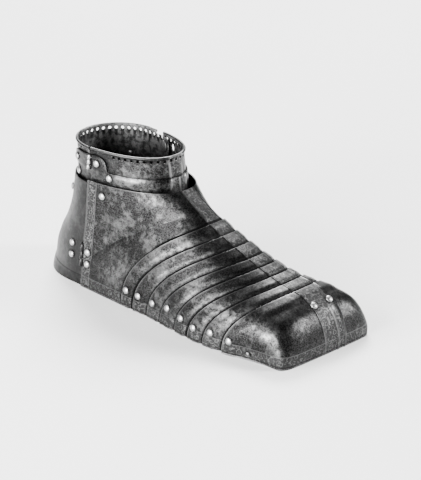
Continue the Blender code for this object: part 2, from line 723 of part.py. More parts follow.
lower = add_object("collar_lower", sweep_mesh("collar_lower", [
    wall_outline(turn, LOWER_LAME_EDGE, lower_top(collar(LOWER_LAME_TOP, turn)[0]), STEP)
    for turn in ear_stations + front_stations]), STEEL)
collar_spans = knuckle_spans(COLLAR_HINGE_LOW, COLLAR_HINGE_HIGH)
union(lower, lambda mesh: barrel(mesh, *collar_spans[1]), "collar_lower_knuckle")
lower_holes = [hole(*seat) for seat in lame_pivots.values()] + [hole(*ear_seat)]
lower_holes += [hole(point, normal, length=LONG_HOLE + STEP) for point, normal in pivots.values()]
lower_holes.append(pin_bore(COLLAR_HINGE_LOW, COLLAR_HINGE_HIGH))
lower_holes += [knuckle_notch(*collar_spans[i], 1) for i in (0, 2)]
cut(lower, lower_holes)


def tongue_inset(turn):
    """How far the rear collar runs forward of the hinge line on the inner side, and how far inside the ring."""
    sprung = max(0.0, collar(COLLAR_HEIGHT, turn)[0] - LINE)
    before = min(sprung / LAME_LEFT_END, 1.0)
    beyond = max(0.0, sprung - LAME_LEFT_END)
    return sprung, STEP * before ** 0.5 + TONGUE_SPRING * beyond


def tongue_seat(turn, z):
    """The inner face of the rear collar's tongue and its outward normal."""
    def face(at):
        return collar(z, at) - collar_normal(z, at) * tongue_inset(at)[1]
    step = 0.004
    normal = np.cross(face(turn + step) - face(turn - step), (0, 0, 1))
    return face(turn), normal / np.linalg.norm(normal)


def rear_outline(turn):
    """The rear collar's outline: full height at the back, a low tongue inside the lames on the inner side."""
    sprung, inset = tongue_inset(turn)
    rolled = 1.0 if sprung < 0.75 * LAME_LEFT_END else 0.0
    full = 1.0 if sprung < 0.15 * LAME_LEFT_END else 0.0
    low = REAR_COLLAR_EDGE if full else TONGUE_EDGE
    top = COLLAR_HEIGHT if rolled else TONGUE_TOP
    return collar_outline(turn, low, top, inset, rolled)


back_turns = spread(2 - 0.006, 1.0, AROUND)
front_turns = [collar_turn(LINE + share * LAME_LEFT_END)
               for share in (0.08, 0.145, 0.155, 0.45, 0.74, 0.76, 1.0)]
front_turns += [collar_turn(LINE + place) for place in spread(LAME_LEFT_END, TONGUE_LENGTH, 2)[1:]]
rear = add_object("rear_collar", sweep_mesh("rear_collar", [
    rear_outline(turn) for turn in back_turns + front_turns]), STEEL)
rear_seats = {}
for side, word in ((-1, "outer"), (1, "inner")):
    turn = REAR_RIVET_TURN if side < 0 else 3 - REAR_RIVET_TURN
    rear_seats[word] = (collar(REAR_RIVET_LOW, turn), collar_normal(REAR_RIVET_LOW, turn))
leaf_seat = (collar(REAR_RIVET_HIGH, REAR_RIVET_TURN), collar_normal(REAR_RIVET_HIGH, REAR_RIVET_TURN))


def heel_seat(turn, z):
    step = 0.004
    along = heel(z, turn + step) - heel(z, turn - step)
    up = heel(z + 0.001, turn) - heel(z - 0.001, turn)
    normal = np.cross(along, up)
    return heel(z, turn), normal / np.linalg.norm(normal)


def seat_on_heel(x, z):
    """The heel plate's inner face on the outer side, at a place along the foot and a height."""
    line = hinge_line(z)[0]
    return heel_seat(2 - math.asin((line - x) / (line - heel_back(z)[0])) / math.pi, z)


heel_seats = {word: heel_seat(HEEL_RIVET_TURN if word == "outer" else 3 - HEEL_RIVET_TURN, HEEL_RIVET_Z)
              for word in ("outer", "inner")}
stud_turn = collar_turn(LINE + STUD_PLACE)
stud_seat = tongue_seat(stud_turn, STUD_HEIGHT)
cut(upper, rim_holes(ear_end + 0.01, left_end - 0.01) + [hole(*seat) for seat in lame_pivots.values()]
    + [hole(*ear_seat), hole(*stud_seat, STUD_RADIUS + 2 * HOLE_CLEARANCE, length=LONG_HOLE)] + keyhole())
cut(rear, rim_holes(2 - REAR_HOLES_TURN, 1 - REAR_HOLES_TURN)
    + [hole(*seat) for seat in rear_seats.values()] + [hole(*leaf_seat)]
    + [hole(point, normal, length=LONG_HOLE) for point, normal in heel_seats.values()]
    + [hole(*stud_seat, length=LONG_HOLE)])


def leaf_outline(turn):
    """The rear leaf of the collar hinge, narrowed to a round end."""
    share = (2 - turn) / (2 - leaf_end)
    middle = (COLLAR_HINGE_LOW + COLLAR_HINGE_HIGH) / 2
    half = (COLLAR_HINGE_HIGH - COLLAR_HINGE_LOW) / 2 * max(1 - max(0.0, (share - 0.45) / 0.55) ** 3, 0.35)
    return wall_outline(turn, middle - half, middle + half, STEP)


leaf_end = 2 - LEAF_LENGTH_TURN
leaf = add_object("collar_hinge_leaf", sweep_mesh("collar_hinge_leaf", [
    leaf_outline(turn) for turn in spread(2 - 0.008, leaf_end, 7)]), STEEL)
union(leaf, lambda mesh: (barrel(mesh, *collar_spans[0]), barrel(mesh, *collar_spans[2])), "leaf_knuckles")
cut(leaf, [hole(*leaf_seat), pin_bore(COLLAR_HINGE_LOW, COLLAR_HINGE_HIGH),
           knuckle_notch(*collar_spans[1], -1)])

# The heel plate


def collar_notch():
    """A box that frees the heel plate's outer flange from the lower collar lame as the heel swings open."""
    height = INSTEP_HEIGHT - FLANGE_CUT
    place = on_axis(FLANGE_CUT + height / 2) + Vector((HEEL_OVERLAP - GAP, 0, 0))
    return ("box", Matrix.Translation(place), (2 * HEEL_OVERLAP, 4 * HEEL_OVERLAP, height), 4)


middle_height = INSTEP_HEIGHT / 2
depth = hinge_line(middle_height)[0] - heel_back(middle_height)[0]
start = 1 - HEEL_OVERLAP_INNER / depth / math.pi
end = 2 + HEEL_OVERLAP / depth / math.pi
grid = []
for z in [HEEL_TOP, *reversed(HEEL_PROFILE[1:-1, 0] * INSTEP_HEIGHT), 0.0]:
    drop = np.array([0, 0, 0.0 if z else SOLE_TRIM])
    grid.append([heel(z, turn) - drop for turn in spread(start, end, AROUND)])
heel_plate = add_object("heel_plate", grid_mesh("heel_plate", grid), STEEL)
solidify(heel_plate)
back_leaf = [seat_on_heel(on_axis(z).x - REAR_LEAF + LEAF_RIVET_EDGE, z) for z in REAR_LEAF_RIVETS]
cut(heel_plate, [hole(point, normal, length=LONG_HOLE) for point, normal in heel_seats.values()]
    + [hole(*seat) for seat in back_leaf]
    + [hinge_notch(2 * HEEL_OVERLAP, BARREL_RADIUS + GAP, 4 * GAP), floor_cut(0.0), collar_notch()])

# The heel hinge: two leaves inside the plates and a pin, on three knuckles


heel_spans = knuckle_spans(HEEL_HINGE_LOW, HEEL_HINGE_HIGH)


def hinge_leaf(name, side, length, pieces, spans, depth, seat_on, seats):
    """A leaf that lies along a plate's inner face, with tabs out to its knuckles on the axis."""
    stations = []
    for x in spread(GAP, length, pieces):
        low, high = (seat_on(on_axis(z).x + side * x, z) for z in (HEEL_HINGE_LOW, HEEL_HINGE_HIGH))
        normal = (low[1] + high[1]) / 2
        stations.append([end[0] - normal * inside for end, inside in
                         ((low, LEAF_GAP), (high, LEAF_GAP), (high, LEAF_GAP + WALL), (low, LEAF_GAP + WALL))])
    reach = depth + LEAF_GAP + WALL / 2

    def tabs(mesh):
        for low, high in spans:
            slab(mesh, (low + high) / 2, (BARREL_RADIUS, reach, high - low - TAB_SINK),
                 (side * (BARREL_RADIUS + GAP) / 2, reach / 2, 0))

    def barrels(mesh):
        for low, high in spans:
            barrel(mesh, low, high)

    made = bmesh_object(name, lambda mesh: add_sweep(mesh, stations), STEEL)
    for fill in (tabs, barrels):
        union(made, fill, f"{name}_{fill.__name__}")
    cut(made, [pin_bore(HEEL_HINGE_LOW, HEEL_HINGE_HIGH)] + [hole(*seat, length=LONG_HOLE) for seat in seats])


def pin(name, low, high):
    def fill(mesh):
        bmesh.ops.create_cone(mesh, cap_ends=True, segments=RIVET_SIDES, radius1=PIN_RADIUS, radius2=PIN_RADIUS,
                              depth=high - low, matrix=axis_frame((low + high) / 2))
    bmesh_object(name, fill, RIVET_STEEL)


hinge_leaf("heel_hinge_front", 1, FRONT_LEAF, 2, heel_spans[1:2], HEEL_BARREL_DEPTH,
           level_seat, front_leaf)
hinge_leaf("heel_hinge_rear", -1, REAR_LEAF, 4, heel_spans[::2], HEEL_BARREL_DEPTH + STEP,
           seat_on_heel, back_leaf)
pin("heel_hinge_pin", HEEL_HINGE_LOW, HEEL_HINGE_HIGH)
pin("collar_hinge_pin", COLLAR_HINGE_LOW, COLLAR_HINGE_HIGH)

# The remaining rivets and the closing stud


def to_collar(point):
    """How far inside a point the collar's inner surface lies."""
    z = min(point[2], COLLAR_HEIGHT)
    return min(float(np.linalg.norm(collar(z, turn) - point)) for turn in np.linspace(0, 2, 4001))


def rivet_on(name, seat, out, grip):
    """A rivet whose head lies a distance out from its seat on a surface."""
    point, normal = seat
    rivet(name, point + normal * out, normal, grip)


for word in ("outer", "inner"):
    rivet_on(f"instep_rivet_{word}", pivots[word], WALL, WALL + to_collar(pivots[word][0]) - STEP)
    rivet_on(f"collar_rivet_{word}", lame_pivots[word], STEP + WALL, STEP + WALL)
    rivet_on(f"rear_collar_rivet_{word}", rear_seats[word], WALL, WALL)
    rivet_on(f"heel_rivet_{word}", heel_seats[word], WALL, WALL + to_collar(heel_seats[word][0]))
rivet_on("ear_rivet", ear_seat, STEP + WALL, STEP + WALL)
rivet_on("leaf_rivet", leaf_seat, STEP + WALL, STEP + WALL)
for number, (front, back) in enumerate(zip(front_leaf, back_leaf), 1):
    rivet_on(f"heel_hinge_rivet_front_{number}", front, WALL, 2 * WALL + LEAF_GAP + FACET_PLAY)
    rivet_on(f"heel_hinge_rivet_rear_{number}", back, WALL, 2 * WALL + LEAF_GAP + FACET_PLAY)

inside = -STUD_PLAY
outside = float(np.linalg.norm(stud_seat[0] - collar(STUD_HEIGHT, stud_turn))) + WALL + STUD_PLAY
outline = [(0.0, outside + WALL), (STUD_HEAD_RADIUS, outside + WALL), (STUD_HEAD_RADIUS, outside),
           (STUD_RADIUS, outside), (STUD_RADIUS, inside), (STUD_DISC_RADIUS, inside),
           (STUD_DISC_RADIUS, inside - WALL), (0.0, inside - WALL)]
turned_piece("closing_stud", outline, frame_at(*stud_seat))

# Everything hangs on one empty, set so that the box over all pieces is centred on the origin
centre = bpy.data.objects.new("sabaton_origin", None)
PARTS.objects.link(centre)
bpy.context.view_layer.update()
graph = bpy.context.evaluated_depsgraph_get()
corners = []
for piece in PARTS.objects:
    if piece.type == "MESH":
        mesh = piece.evaluated_get(graph).to_mesh()
        points = np.empty(3 * len(mesh.vertices), np.float32)
        mesh.vertices.foreach_get("co", points)
        place = np.array(piece.matrix_world)
        placed = points.reshape(-1, 3) @ place[:3, :3].T + place[:3, 3]
        corners += [placed.min(axis=0), placed.max(axis=0)]
middle = (np.min(corners, axis=0) + np.max(corners, axis=0)) / 2
centre.location = (-middle[0], -middle[1], 0)
for piece in [*PARTS.objects, *CUTTERS.objects]:
    if piece is not centre:
        piece.parent = centre
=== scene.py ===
# %% [markdown]
# # A steel sabaton, one cell at a time
# A sabaton is the shoe of a suit of armour. This one has a hinged collar for the ankle, a heel plate, one large
# plate over the instep, seven narrow lames that slide over each other, and a broad toe cap.
# The plain CAD solids are loaded first and stay the truth for sizes and motion. Each is then covered by a finer
# piece of the same shape, because a smooth curve, a thin edge and a worn surface need many more faces.

import json
import math

import bmesh
import bpy
import numpy as np
from mathutils import Matrix, Vector

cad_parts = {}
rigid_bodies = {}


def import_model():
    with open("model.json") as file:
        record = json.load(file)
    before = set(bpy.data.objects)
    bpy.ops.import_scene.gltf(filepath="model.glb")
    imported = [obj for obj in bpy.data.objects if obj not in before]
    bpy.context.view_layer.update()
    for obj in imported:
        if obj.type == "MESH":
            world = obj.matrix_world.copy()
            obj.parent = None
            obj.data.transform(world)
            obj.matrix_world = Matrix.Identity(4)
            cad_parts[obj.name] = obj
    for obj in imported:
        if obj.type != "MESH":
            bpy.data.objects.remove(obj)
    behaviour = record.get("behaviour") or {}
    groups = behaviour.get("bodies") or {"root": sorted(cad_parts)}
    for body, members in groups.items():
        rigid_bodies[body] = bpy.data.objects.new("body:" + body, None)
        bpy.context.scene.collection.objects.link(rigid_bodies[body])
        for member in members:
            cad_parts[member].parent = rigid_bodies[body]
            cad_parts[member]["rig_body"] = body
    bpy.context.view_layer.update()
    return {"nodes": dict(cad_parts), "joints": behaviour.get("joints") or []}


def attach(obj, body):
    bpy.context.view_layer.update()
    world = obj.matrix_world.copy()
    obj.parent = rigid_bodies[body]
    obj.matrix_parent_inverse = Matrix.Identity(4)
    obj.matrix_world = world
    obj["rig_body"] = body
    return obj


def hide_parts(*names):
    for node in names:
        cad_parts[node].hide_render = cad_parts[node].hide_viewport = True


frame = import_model()

# %% [markdown]
# ## The camera
# A museum photographer looks at the outer side from a little over the toe. The angle and the lens were found by
# matching rivets, so the camera is a plain one with no shift.

# %% Camera
VIEW_AZIMUTH = math.radians(43)
VIEW_ELEVATION = math.radians(23)
VIEW_DISTANCE = 1.4
VIEW_TARGET = Vector((0.0175, 0.0079, 0.0558))
FOCAL_LENGTH = 132.08

back = Vector((math.sin(VIEW_AZIMUTH) * math.cos(VIEW_ELEVATION),
               -math.cos(VIEW_AZIMUTH) * math.cos(VIEW_ELEVATION), math.sin(VIEW_ELEVATION)))
camera = bpy.data.objects.new("camera", bpy.data.cameras.new("camera"))
bpy.context.scene.collection.objects.link(camera)
camera.location = VIEW_TARGET + back * VIEW_DISTANCE
camera.rotation_euler = (math.pi / 2 - VIEW_ELEVATION, 0, VIEW_AZIMUTH)
camera.data.lens = FOCAL_LENGTH
camera.data.clip_end = 50
bpy.context.scene.camera = camera
print("camera at", tuple(round(x, 3) for x in camera.location))

# %% [markdown]
# ## Shader maths as sums
# A material here is mostly arithmetic on masks. Wiring Math nodes by hand hides the sum that they make, so one
# small class wraps a socket and lets Python's own operators add the nodes.


# %% The socket class
class Wire:
    """A node's output that can be added, multiplied and so on."""

    def __init__(self, kit, socket):
        self.kit, self.socket = kit, socket

    def math(self, operation, *others):
        return self.kit.node("ShaderNodeMath", {"operation": operation}, (self, *others))

    def __add__(self, other):
        return self.math("ADD", other)

    def __sub__(self, other):
        return self.math("SUBTRACT", other)

    def __mul__(self, other):
        return self.math("MULTIPLY", other)

    def __rsub__(self, other):
        return self.kit.node("ShaderNodeMath", {"operation": "SUBTRACT"}, (other, self))

    __radd__, __rmul__ = __add__, __mul__

    def absolute(self):
        return self.math("ABSOLUTE")

    def sine(self):
        return self.math("SINE")

    def largest(self, other):
        return self.math("MAXIMUM", other)

    def smallest(self, other):
        return self.math("MINIMUM", other)

    def step(self, low, high):
        """0 below low, 1 above high and smooth between; low may be the larger."""
        return self.kit.node("ShaderNodeMapRange", {"interpolation_type": "SMOOTHSTEP"},
                             {"Value": self, "From Min": low, "From Max": high})

    def line(self, at, width):
        """A thin soft line where the value passes a number."""
        return (self - at).absolute().step(width, width * 0.35)


print("socket class ready")


# %% [markdown]
# A second class holds a whole node tree. Each kind of node is made by one method, which takes the settings first
# and then the inputs, so a material reads as a list of masks and no link is drawn by hand.

# %% The node kit
class Kit:
    """The node tree of one material or world, with one way to add any node."""

    def __init__(self, owner, shader="Principled BSDF"):
        owner.use_nodes = True
        self.owner, self.tree = owner, owner.node_tree
        self.shader = self.tree.nodes[shader]

    def join(self, value, socket):
        if isinstance(value, Wire):
            self.tree.links.new(value.socket, socket)
        else:
            socket.default_value = value

    def node(self, kind, settings=(), inputs=(), output=0):
        made = self.tree.nodes.new(kind)
        for name, value in dict(settings).items():
            setattr(made, name, value)
        pairs = inputs.items() if isinstance(inputs, dict) else enumerate(inputs)
        for name, value in pairs:
            self.join(value, made.inputs[name])
        return Wire(self, made.outputs[output])

    def place(self):
        """Where on the object a point lies, in metres."""
        return self.node("ShaderNodeTexCoord", output="Object")

    def noise(self, place, scale, detail=4.0, rough=0.55, warp=0.0):
        return self.node("ShaderNodeTexNoise", {}, {"Vector": place, "Scale": scale, "Detail": detail,
                                                    "Roughness": rough, "Distortion": warp})

    def mark(self, name):
        """A number that the mesh carries at each of its points."""
        return self.node("ShaderNodeAttribute", {"attribute_name": name}, output="Fac")

    def blend(self, share, dark, light):
        return self.node("ShaderNodeMix", {"data_type": "RGBA"}, {0: share, 6: dark, 7: light}, output=2)

    def set(self, **sockets):
        for name, value in sockets.items():
            self.join(value, self.shader.inputs[name.replace("_", " ")])
        return self.owner


print("node kit ready")

# %% [markdown]
# ## The floor and the light
# The real one stands on a pale sheet of paper, so the floor is nearly white, with faint clouds in it. Polished
# steel shows its surroundings, which is why paper, panels and room are set up before the metal is made.


# %% Floor
def grey(value):
    return (value, value, value, 1.0)


def link(obj):
    bpy.context.scene.collection.objects.link(obj)
    return obj


def mesh_data(name, mesh):
    data = bpy.data.meshes.new(name)
    mesh.to_mesh(data)
    mesh.free()
    return data


FLOOR_REACH = 6.0
FLOOR_CELLS = 24
PAPER_CLOUDS = 3.0
paper = Kit(bpy.data.materials.new("pale_paper"))
paper_cloud = paper.noise(paper.place(), PAPER_CLOUDS, 2.0)
paper.set(Base_Color=paper.blend(paper_cloud, grey(0.89), grey(0.94)), Roughness=0.85)
floor_mesh = bmesh.new()
bmesh.ops.create_grid(floor_mesh, x_segments=FLOOR_CELLS, y_segments=FLOOR_CELLS, size=FLOOR_REACH)
floor_data = mesh_data("floor", floor_mesh)
floor = link(bpy.data.objects.new("floor", floor_data))
floor_data.materials.append(paper.owner)
print("floor", FLOOR_REACH * 2, "m across")


# %% [markdown]
# ### Panels and the room
# A panel's place is given as the photographer would say it: so far to the right, so far up, so far towards the
# camera. The three windows on the left draw the long highlights on the instep and the lames, the panel over the
# toe draws the bright streak on its front, and a skylight far behind lights little but the paper.

# %% Lights
def seen_from_camera(right, up, near):
    """A place given along the camera's own right, straight up, and towards the camera along the floor."""
    return (VIEW_TARGET + Vector((math.cos(VIEW_AZIMUTH), math.sin(VIEW_AZIMUTH), 0)) * right
            + Vector((0, 0, up)) + Vector((math.sin(VIEW_AZIMUTH), -math.cos(VIEW_AZIMUTH), 0)) * near)


def panel(name, place, size, watts):
    data = bpy.data.lights.new(name, "AREA")
    data.shape, data.size, data.size_y, data.energy = "RECTANGLE", *size, watts
    made = link(bpy.data.objects.new(name, data))
    made.location = seen_from_camera(*place)
    made.rotation_euler = (made.location - VIEW_TARGET).to_track_quat("Z", "Y").to_euler()


# Name, place to the right, up and near, width and height in metres, watts
PANELS = (
    ("window_front", (-0.95, 0.62, 1.30), (0.85, 0.80), 48),
    ("window_low", (-1.20, 0.22, 1.15), (0.80, 0.40), 96),
    ("window_left", (-1.50, 0.95, 0.45), (0.60, 0.60), 36),
    ("panel_toe", (1.60, 0.70, 0.10), (0.50, 0.45), 66),
    ("skylight_behind", (0.00, 2.10, -2.20), (1.60, 1.00), 290),
)
for values in PANELS:
    panel(*values)
print(len(PANELS), "panels")

# %% [markdown]
# The room is one soft step between two brightnesses. Steel that faces up or away mirrors the dark part, which is
# what turns the top of the toe cap black.

# %% The room
DOWN_AND_NEAR = (0.5 * math.sin(VIEW_AZIMUTH), -0.5 * math.cos(VIEW_AZIMUTH), -1.0)
room = Kit(bpy.data.worlds.new("room"), "Background")
low_and_near = room.node("ShaderNodeVectorMath", {"operation": "DOT_PRODUCT"},
                         (room.node("ShaderNodeTexCoord", output="Generated"), DOWN_AND_NEAR), output="Value")
glow = room.node("ShaderNodeMapRange", {"interpolation_type": "SMOOTHSTEP"},
                 {"Value": low_and_near, "From Min": -0.75, "From Max": 0.35, "To Min": 0.008, "To Max": 0.40})
bpy.context.scene.world = room.set(Color=grey(1.0), Strength=glow)
print("a room that is dark overhead")

# %% [markdown]
# ## Old steel
# The plates were once bright and have aged to a brown black bloom that hands have rubbed through in patches.
# Noise at three sizes gives the clouds, the mottling and the fine grain. The plates also carry numbers made with
# the mesh: how far a point is inside an etched border, over the sole, or from a rubbed edge. They place the
# etched foliage and the wear exactly where the plate has them, which a picture wrapped over it could not.


# %% The etched bands
# Added to the number that a plate carries, so that a piece without it, which reads 0, lies far outside
INSET_OFFSET = 20.0
SCROLLS, SCROLL_BENDS, SCROLL_TWISTS = 210.0, 260.0, 300.0
SCROLL_REACH = 0.0035


def etched(kit, place, ground):
    """Fine scrolls and leaves: rings round scattered centres, bent by noise and broken by grain."""
    bend = kit.noise(place, SCROLL_BENDS, 2.0)
    twist = kit.node("ShaderNodeTexNoise", {}, {"Vector": place, "Scale": SCROLL_TWISTS}, output="Color")
    bent = kit.node("ShaderNodeVectorMath", {"operation": "MULTIPLY_ADD"}, (twist, (SCROLL_REACH,) * 3, place))
    centre = kit.node("ShaderNodeTexVoronoi", {}, {"Vector": bent, "Scale": SCROLLS, "Randomness": 0.8},
                      output="Distance")
    rings = (centre * 17.0 + bend * 3.0).sine().step(0.35, 0.85)
    return rings * ground.step(0.30, 0.62)


def bands(kit, sole):
    """Where the etched ground lies, how strong its leaves are, and its border lines, all by millimetres."""
    inset, edge = kit.mark("inset") - INSET_OFFSET, kit.mark("edge")
    along_sole = sole.step(0.6, 1.1) * sole.step(10.2, 9.6)
    along_hinge = edge.step(1.2, 1.6) * edge.step(9.6, 9.1) * sole.step(9.8, 10.4)
    down_middle = inset.step(0.4, 0.8)
    ground = along_sole.largest(along_hinge).largest(down_middle)
    strength = (along_sole * 0.75 + along_hinge + down_middle * 0.8).smallest(1.0)
    borders = (inset.line(0.0, 0.55) + inset.line(1.9, 0.40) * 0.8 + sole.line(10.3, 0.45) * 0.8
               + edge.line(10.0, 0.45) + edge.line(1.4, 0.40)).smallest(1.0)
    return ground, strength, borders


print("foliage ready")

# %% [markdown]
# ### From noise to steel
# The tone starts as clouds and mottling. The etched ground is laid over it, then the rubbed edges, then painted
# shade along the gaps between plates with dark rings and lines, and last painted light on the inner faces. The
# same masks set the roughness, because what is rubbed bright is also smoother, and a little bump.

# %% Steel material
CLOUDS, MOTTLES, GRAINS = 38.0, 240.0, 1100.0
SCRATCH_STRETCH = (40, 700, 700)


def old_steel(name, dark, light, rough, bloom):
    """Patinated steel: dark and light are its two greys, and bloom is the share that is dark."""
    kit = Kit(bpy.data.materials.new(name))
    place = kit.place()
    cloud = kit.noise(place, CLOUDS, 6.0, 0.62, 0.5)
    mottle = kit.noise(place, MOTTLES, 5.0, 0.68, 0.3)
    grain = kit.noise(place, GRAINS, 3.0, 0.6)
    drawn = kit.node("ShaderNodeMapping", {"vector_type": "POINT"}, {"Vector": place, "Scale": SCRATCH_STRETCH})
    scratch = kit.noise(drawn, 1.0, 3.0, 0.7)
    tone = (cloud * 0.55 + mottle * 0.45 - (bloom - 0.5) * 0.5).step(0.40, 0.60)
    tone = (tone * 0.66 + grain.step(0.35, 0.7) * 0.26 + scratch.step(0.55, 0.75) * 0.14).smallest(1.0)

    sole, worn_and_highlight, inside = kit.mark("sole"), kit.mark("wear"), kit.mark("inside")
    ground, strength, borders = bands(kit, sole)
    leaves = etched(kit, place, mottle) * strength
    frayed = sole.step(0.02, 0.05) * sole.step(2.0, 0.9) * grain.step(0.35, 0.6) * kit.mark("frayed")
    # Painted shade: dark strips along the gaps where one plate lies over another and along the heel's bend, with
    # dark rings round the rivet heads and a dark line 2.4 mm above the sole
    shade_and_dark_marks = kit.mark("grime").largest(sole.line(2.4, 0.5) * 0.75)

    level = tone * (1.0 - ground * 0.50) + ground * 0.10 + leaves * 0.70
    level = level.largest(borders * (0.35 + mottle * 0.5)).largest(worn_and_highlight * (0.45 + mottle))
    level = level.largest(frayed).smallest(1.0) * (1.0 - shade_and_dark_marks * 0.98)
    # Painted light: the inner faces are brightened towards the rim
    level = level.largest(inside * (mottle.step(0.36, 0.68) * 1.5 + cloud * 0.5))
    dull = (1 - tone) * 0.12 - worn_and_highlight * 0.06 + grain * 0.05 + ground * 0.14 + shade_and_dark_marks * 0.3 + inside * 0.25
    height = grain * 0.25 + mottle * 0.45 + leaves * 0.55 - borders * 0.6 + scratch * 0.12
    bump = kit.node("ShaderNodeBump", {}, {"Strength": 0.30, "Distance": 0.0004, "Height": height})
    return kit.set(Base_Color=kit.blend(level, dark, light), Metallic=1.0, Normal=bump, Roughness=rough + dull)


OLD_STEEL = old_steel("old_steel", grey(0.002), grey(0.122), 0.26, 0.64)
HEEL_STEEL = old_steel("heel_steel", grey(0.010), grey(0.036), 0.34, 0.5)
INNER_STEEL = old_steel("hinge_steel", grey(0.04), grey(0.45), 0.34, 0.5)
print("three steels")


# %% [markdown]
# ### Rivet steel
# A rivet head is lighter than its plate, since hands rub it. A mark that rises towards the crown makes it bright
# on top and dirty where it meets the plate.

# %% Rivet material
RIVET_MOTTLES = 420.0


def rivet_steel():
    kit = Kit(bpy.data.materials.new("rivet_steel"))
    mottle = kit.noise(kit.place(), RIVET_MOTTLES, 4.0, 0.6)
    crown = kit.mark("wear")
    level = (crown * 0.75 + mottle.step(0.35, 0.7) * 0.35).smallest(1.0)
    bump = kit.node("ShaderNodeBump", {}, {"Strength": 0.25, "Distance": 0.0003, "Height": mottle})
    return kit.set(Base_Color=kit.blend(level, grey(0.02), grey(0.46)), Metallic=1.0,
                   Roughness=0.40 - crown * 0.06 + mottle * 0.08, Normal=bump)


RIVET_STEEL = rivet_steel()
print("rivet steel")

# %% [markdown]
# ## The shape of the foot
# All the plates over the foot are cuts from one surface, as they were raised by hammer over one form. The table
# holds that surface as rows: each row is where a bent sheet would cut the foot, from the sole on the outer side,
# over the instep, down to the sole on the inner side. The numbers are those of the CAD source.

# %% Sizes of the foot
ORIGIN_X, ORIGIN_Y = -0.0001, 0.0010
FOOT_LENGTH = 0.288
INSTEP_HEIGHT = 0.0950
BALL_HALF_WIDTH = 0.053
TOE_SHIFT = 0.0095
TOE_SLANT = 0.072
WALL = 0.0010
GAP = 0.00035
STEP = WALL + GAP
LAME_CLEAR = 0.0008
LAME_OVERLAP = 0.50
COLUMNS = ("base_x", "base_z", "outer", "inner", "top_x", "top_z", "shift", "slant",
           "wide", "wide_inner", "lean", "rise")
ROWS = np.array([
    [0.2360, 1.000, 0.690, 0.690, 0.494, 1.000, 0.00, 0.00, 0.90, 0.90, 0.95, 1.00],
    [0.2280, 0.650, 0.712, 0.718, 0.519, 0.950, 0.03, 0.00, 0.88, 0.90, 1.10, 1.00],
    [0.2140, 0.295, 0.738, 0.748, 0.541, 0.908, 0.07, 0.00, 0.85, 0.90, 1.40, 0.95],
    [0.2065, 0.000, 0.753, 0.760, 0.563, 0.866, 0.12, 0.00, 0.82, 0.91, 1.70, 0.90],
    [0.2930, 0.000, 0.785, 0.785, 0.580, 0.824, 0.18, 0.00, 0.80, 0.92, 1.90, 0.87],
    [0.3900, 0.000, 0.820, 0.815, 0.597, 0.782, 0.26, 0.00, 0.80, 0.93, 2.00, 0.87],
    [0.4380, 0.000, 0.835, 0.835, 0.643, 0.714, 0.35, 0.00, 0.80, 0.95, 2.00, 0.87],
    [0.4970, 0.000, 0.855, 0.855, 0.690, 0.652, 0.44, 0.00, 0.80, 0.97, 2.00, 0.87],
    [0.5540, 0.000, 0.895, 0.875, 0.738, 0.592, 0.53, 0.00, 0.80, 0.98, 2.00, 0.86],
    [0.6190, 0.000, 0.940, 0.890, 0.776, 0.545, 0.61, 0.05, 0.79, 0.97, 2.00, 0.85],
    [0.6730, 0.000, 0.972, 0.900, 0.817, 0.502, 0.69, 0.12, 0.78, 0.94, 1.95, 0.84],
    [0.7310, 0.000, 0.985, 0.910, 0.857, 0.470, 0.76, 0.22, 0.76, 0.88, 1.85, 0.80],
    [0.7970, 0.000, 0.955, 0.925, 0.897, 0.446, 0.83, 0.35, 0.72, 0.76, 1.65, 0.72],
    [0.8560, 0.000, 0.905, 0.940, 0.936, 0.403, 0.89, 0.50, 0.58, 0.56, 1.05, 0.52],
    [0.9000, 0.000, 0.865, 0.950, 0.968, 0.332, 0.94, 0.70, 0.43, 0.41, 0.62, 0.40],
    [0.9280, 0.000, 0.847, 0.952, 0.990, 0.215, 0.97, 0.90, 0.34, 0.33, 0.42, 0.40],
    [0.9420, 0.000, 0.840, 0.952, 0.999, 0.100, 1.00, 1.00, 0.28, 0.29, 0.32, 0.50],
    [0.9480, 0.000, 0.836, 0.950, 0.996, 0.000, 1.00, 1.00, 0.26, 0.27, 0.28, 1.00],
])
TOP_EDGE, SOLE_CORNER, FIRST_LAME, TOE_ROW, TOE_END = 0, 3, 5, 12, 17
print(len(ROWS), "rows")


# %% [markdown]
# A plate's edge may lie between two rows, so the table is read at any fraction of a row. The curve's width and
# height follow powers of a sine and a cosine, which go from a round arch to a boxy one with two numbers.

# %% Points of a row
def clamp(value):
    return min(max(value, 0.0), 1.0)


def lengths(points):
    """The length along a line of points, up to each of them."""
    return np.concatenate([[0], np.cumsum(np.linalg.norm(np.diff(points, axis=0), axis=1))])


BAND_HALF_BEHIND, BAND_HALF_IN_FRONT = 0.0064, 0.0110


def smooth(table, at):
    """The row of a table at a fractional index, by cubic pieces that never overshoot."""
    at = min(max(at, 0.0), len(table) - 1.0)
    low = min(int(at), len(table) - 2)
    rise = np.diff(table, axis=0)
    before, after = rise[:-1], rise[1:]
    product = before * after
    middle = np.where(product > 0, 2 * product / np.where(product > 0, before + after, 1), 0)
    slope = np.vstack([rise[:1], middle, rise[-1:]])
    u = at - low
    a, b = table[low], table[low + 1]
    return ((1 + 2 * u) * (1 - u) ** 2 * a + u * (1 - u) ** 2 * slope[low]
            + u * u * (3 - 2 * u) * b - u * u * (1 - u) * slope[low + 1])


def row(at):
    """The named lengths of one row, in metres."""
    r = dict(zip(COLUMNS, smooth(ROWS, at)))
    for name in ("base_x", "top_x"):
        r[name] = (r[name] - 0.5) * FOOT_LENGTH
    for name in ("base_z", "top_z"):
        r[name] *= INSTEP_HEIGHT
    for name in ("outer", "inner"):
        r[name] *= BALL_HALF_WIDTH
    r["shift"] *= TOE_SHIFT
    r["slant"] *= TOE_SLANT
    return r


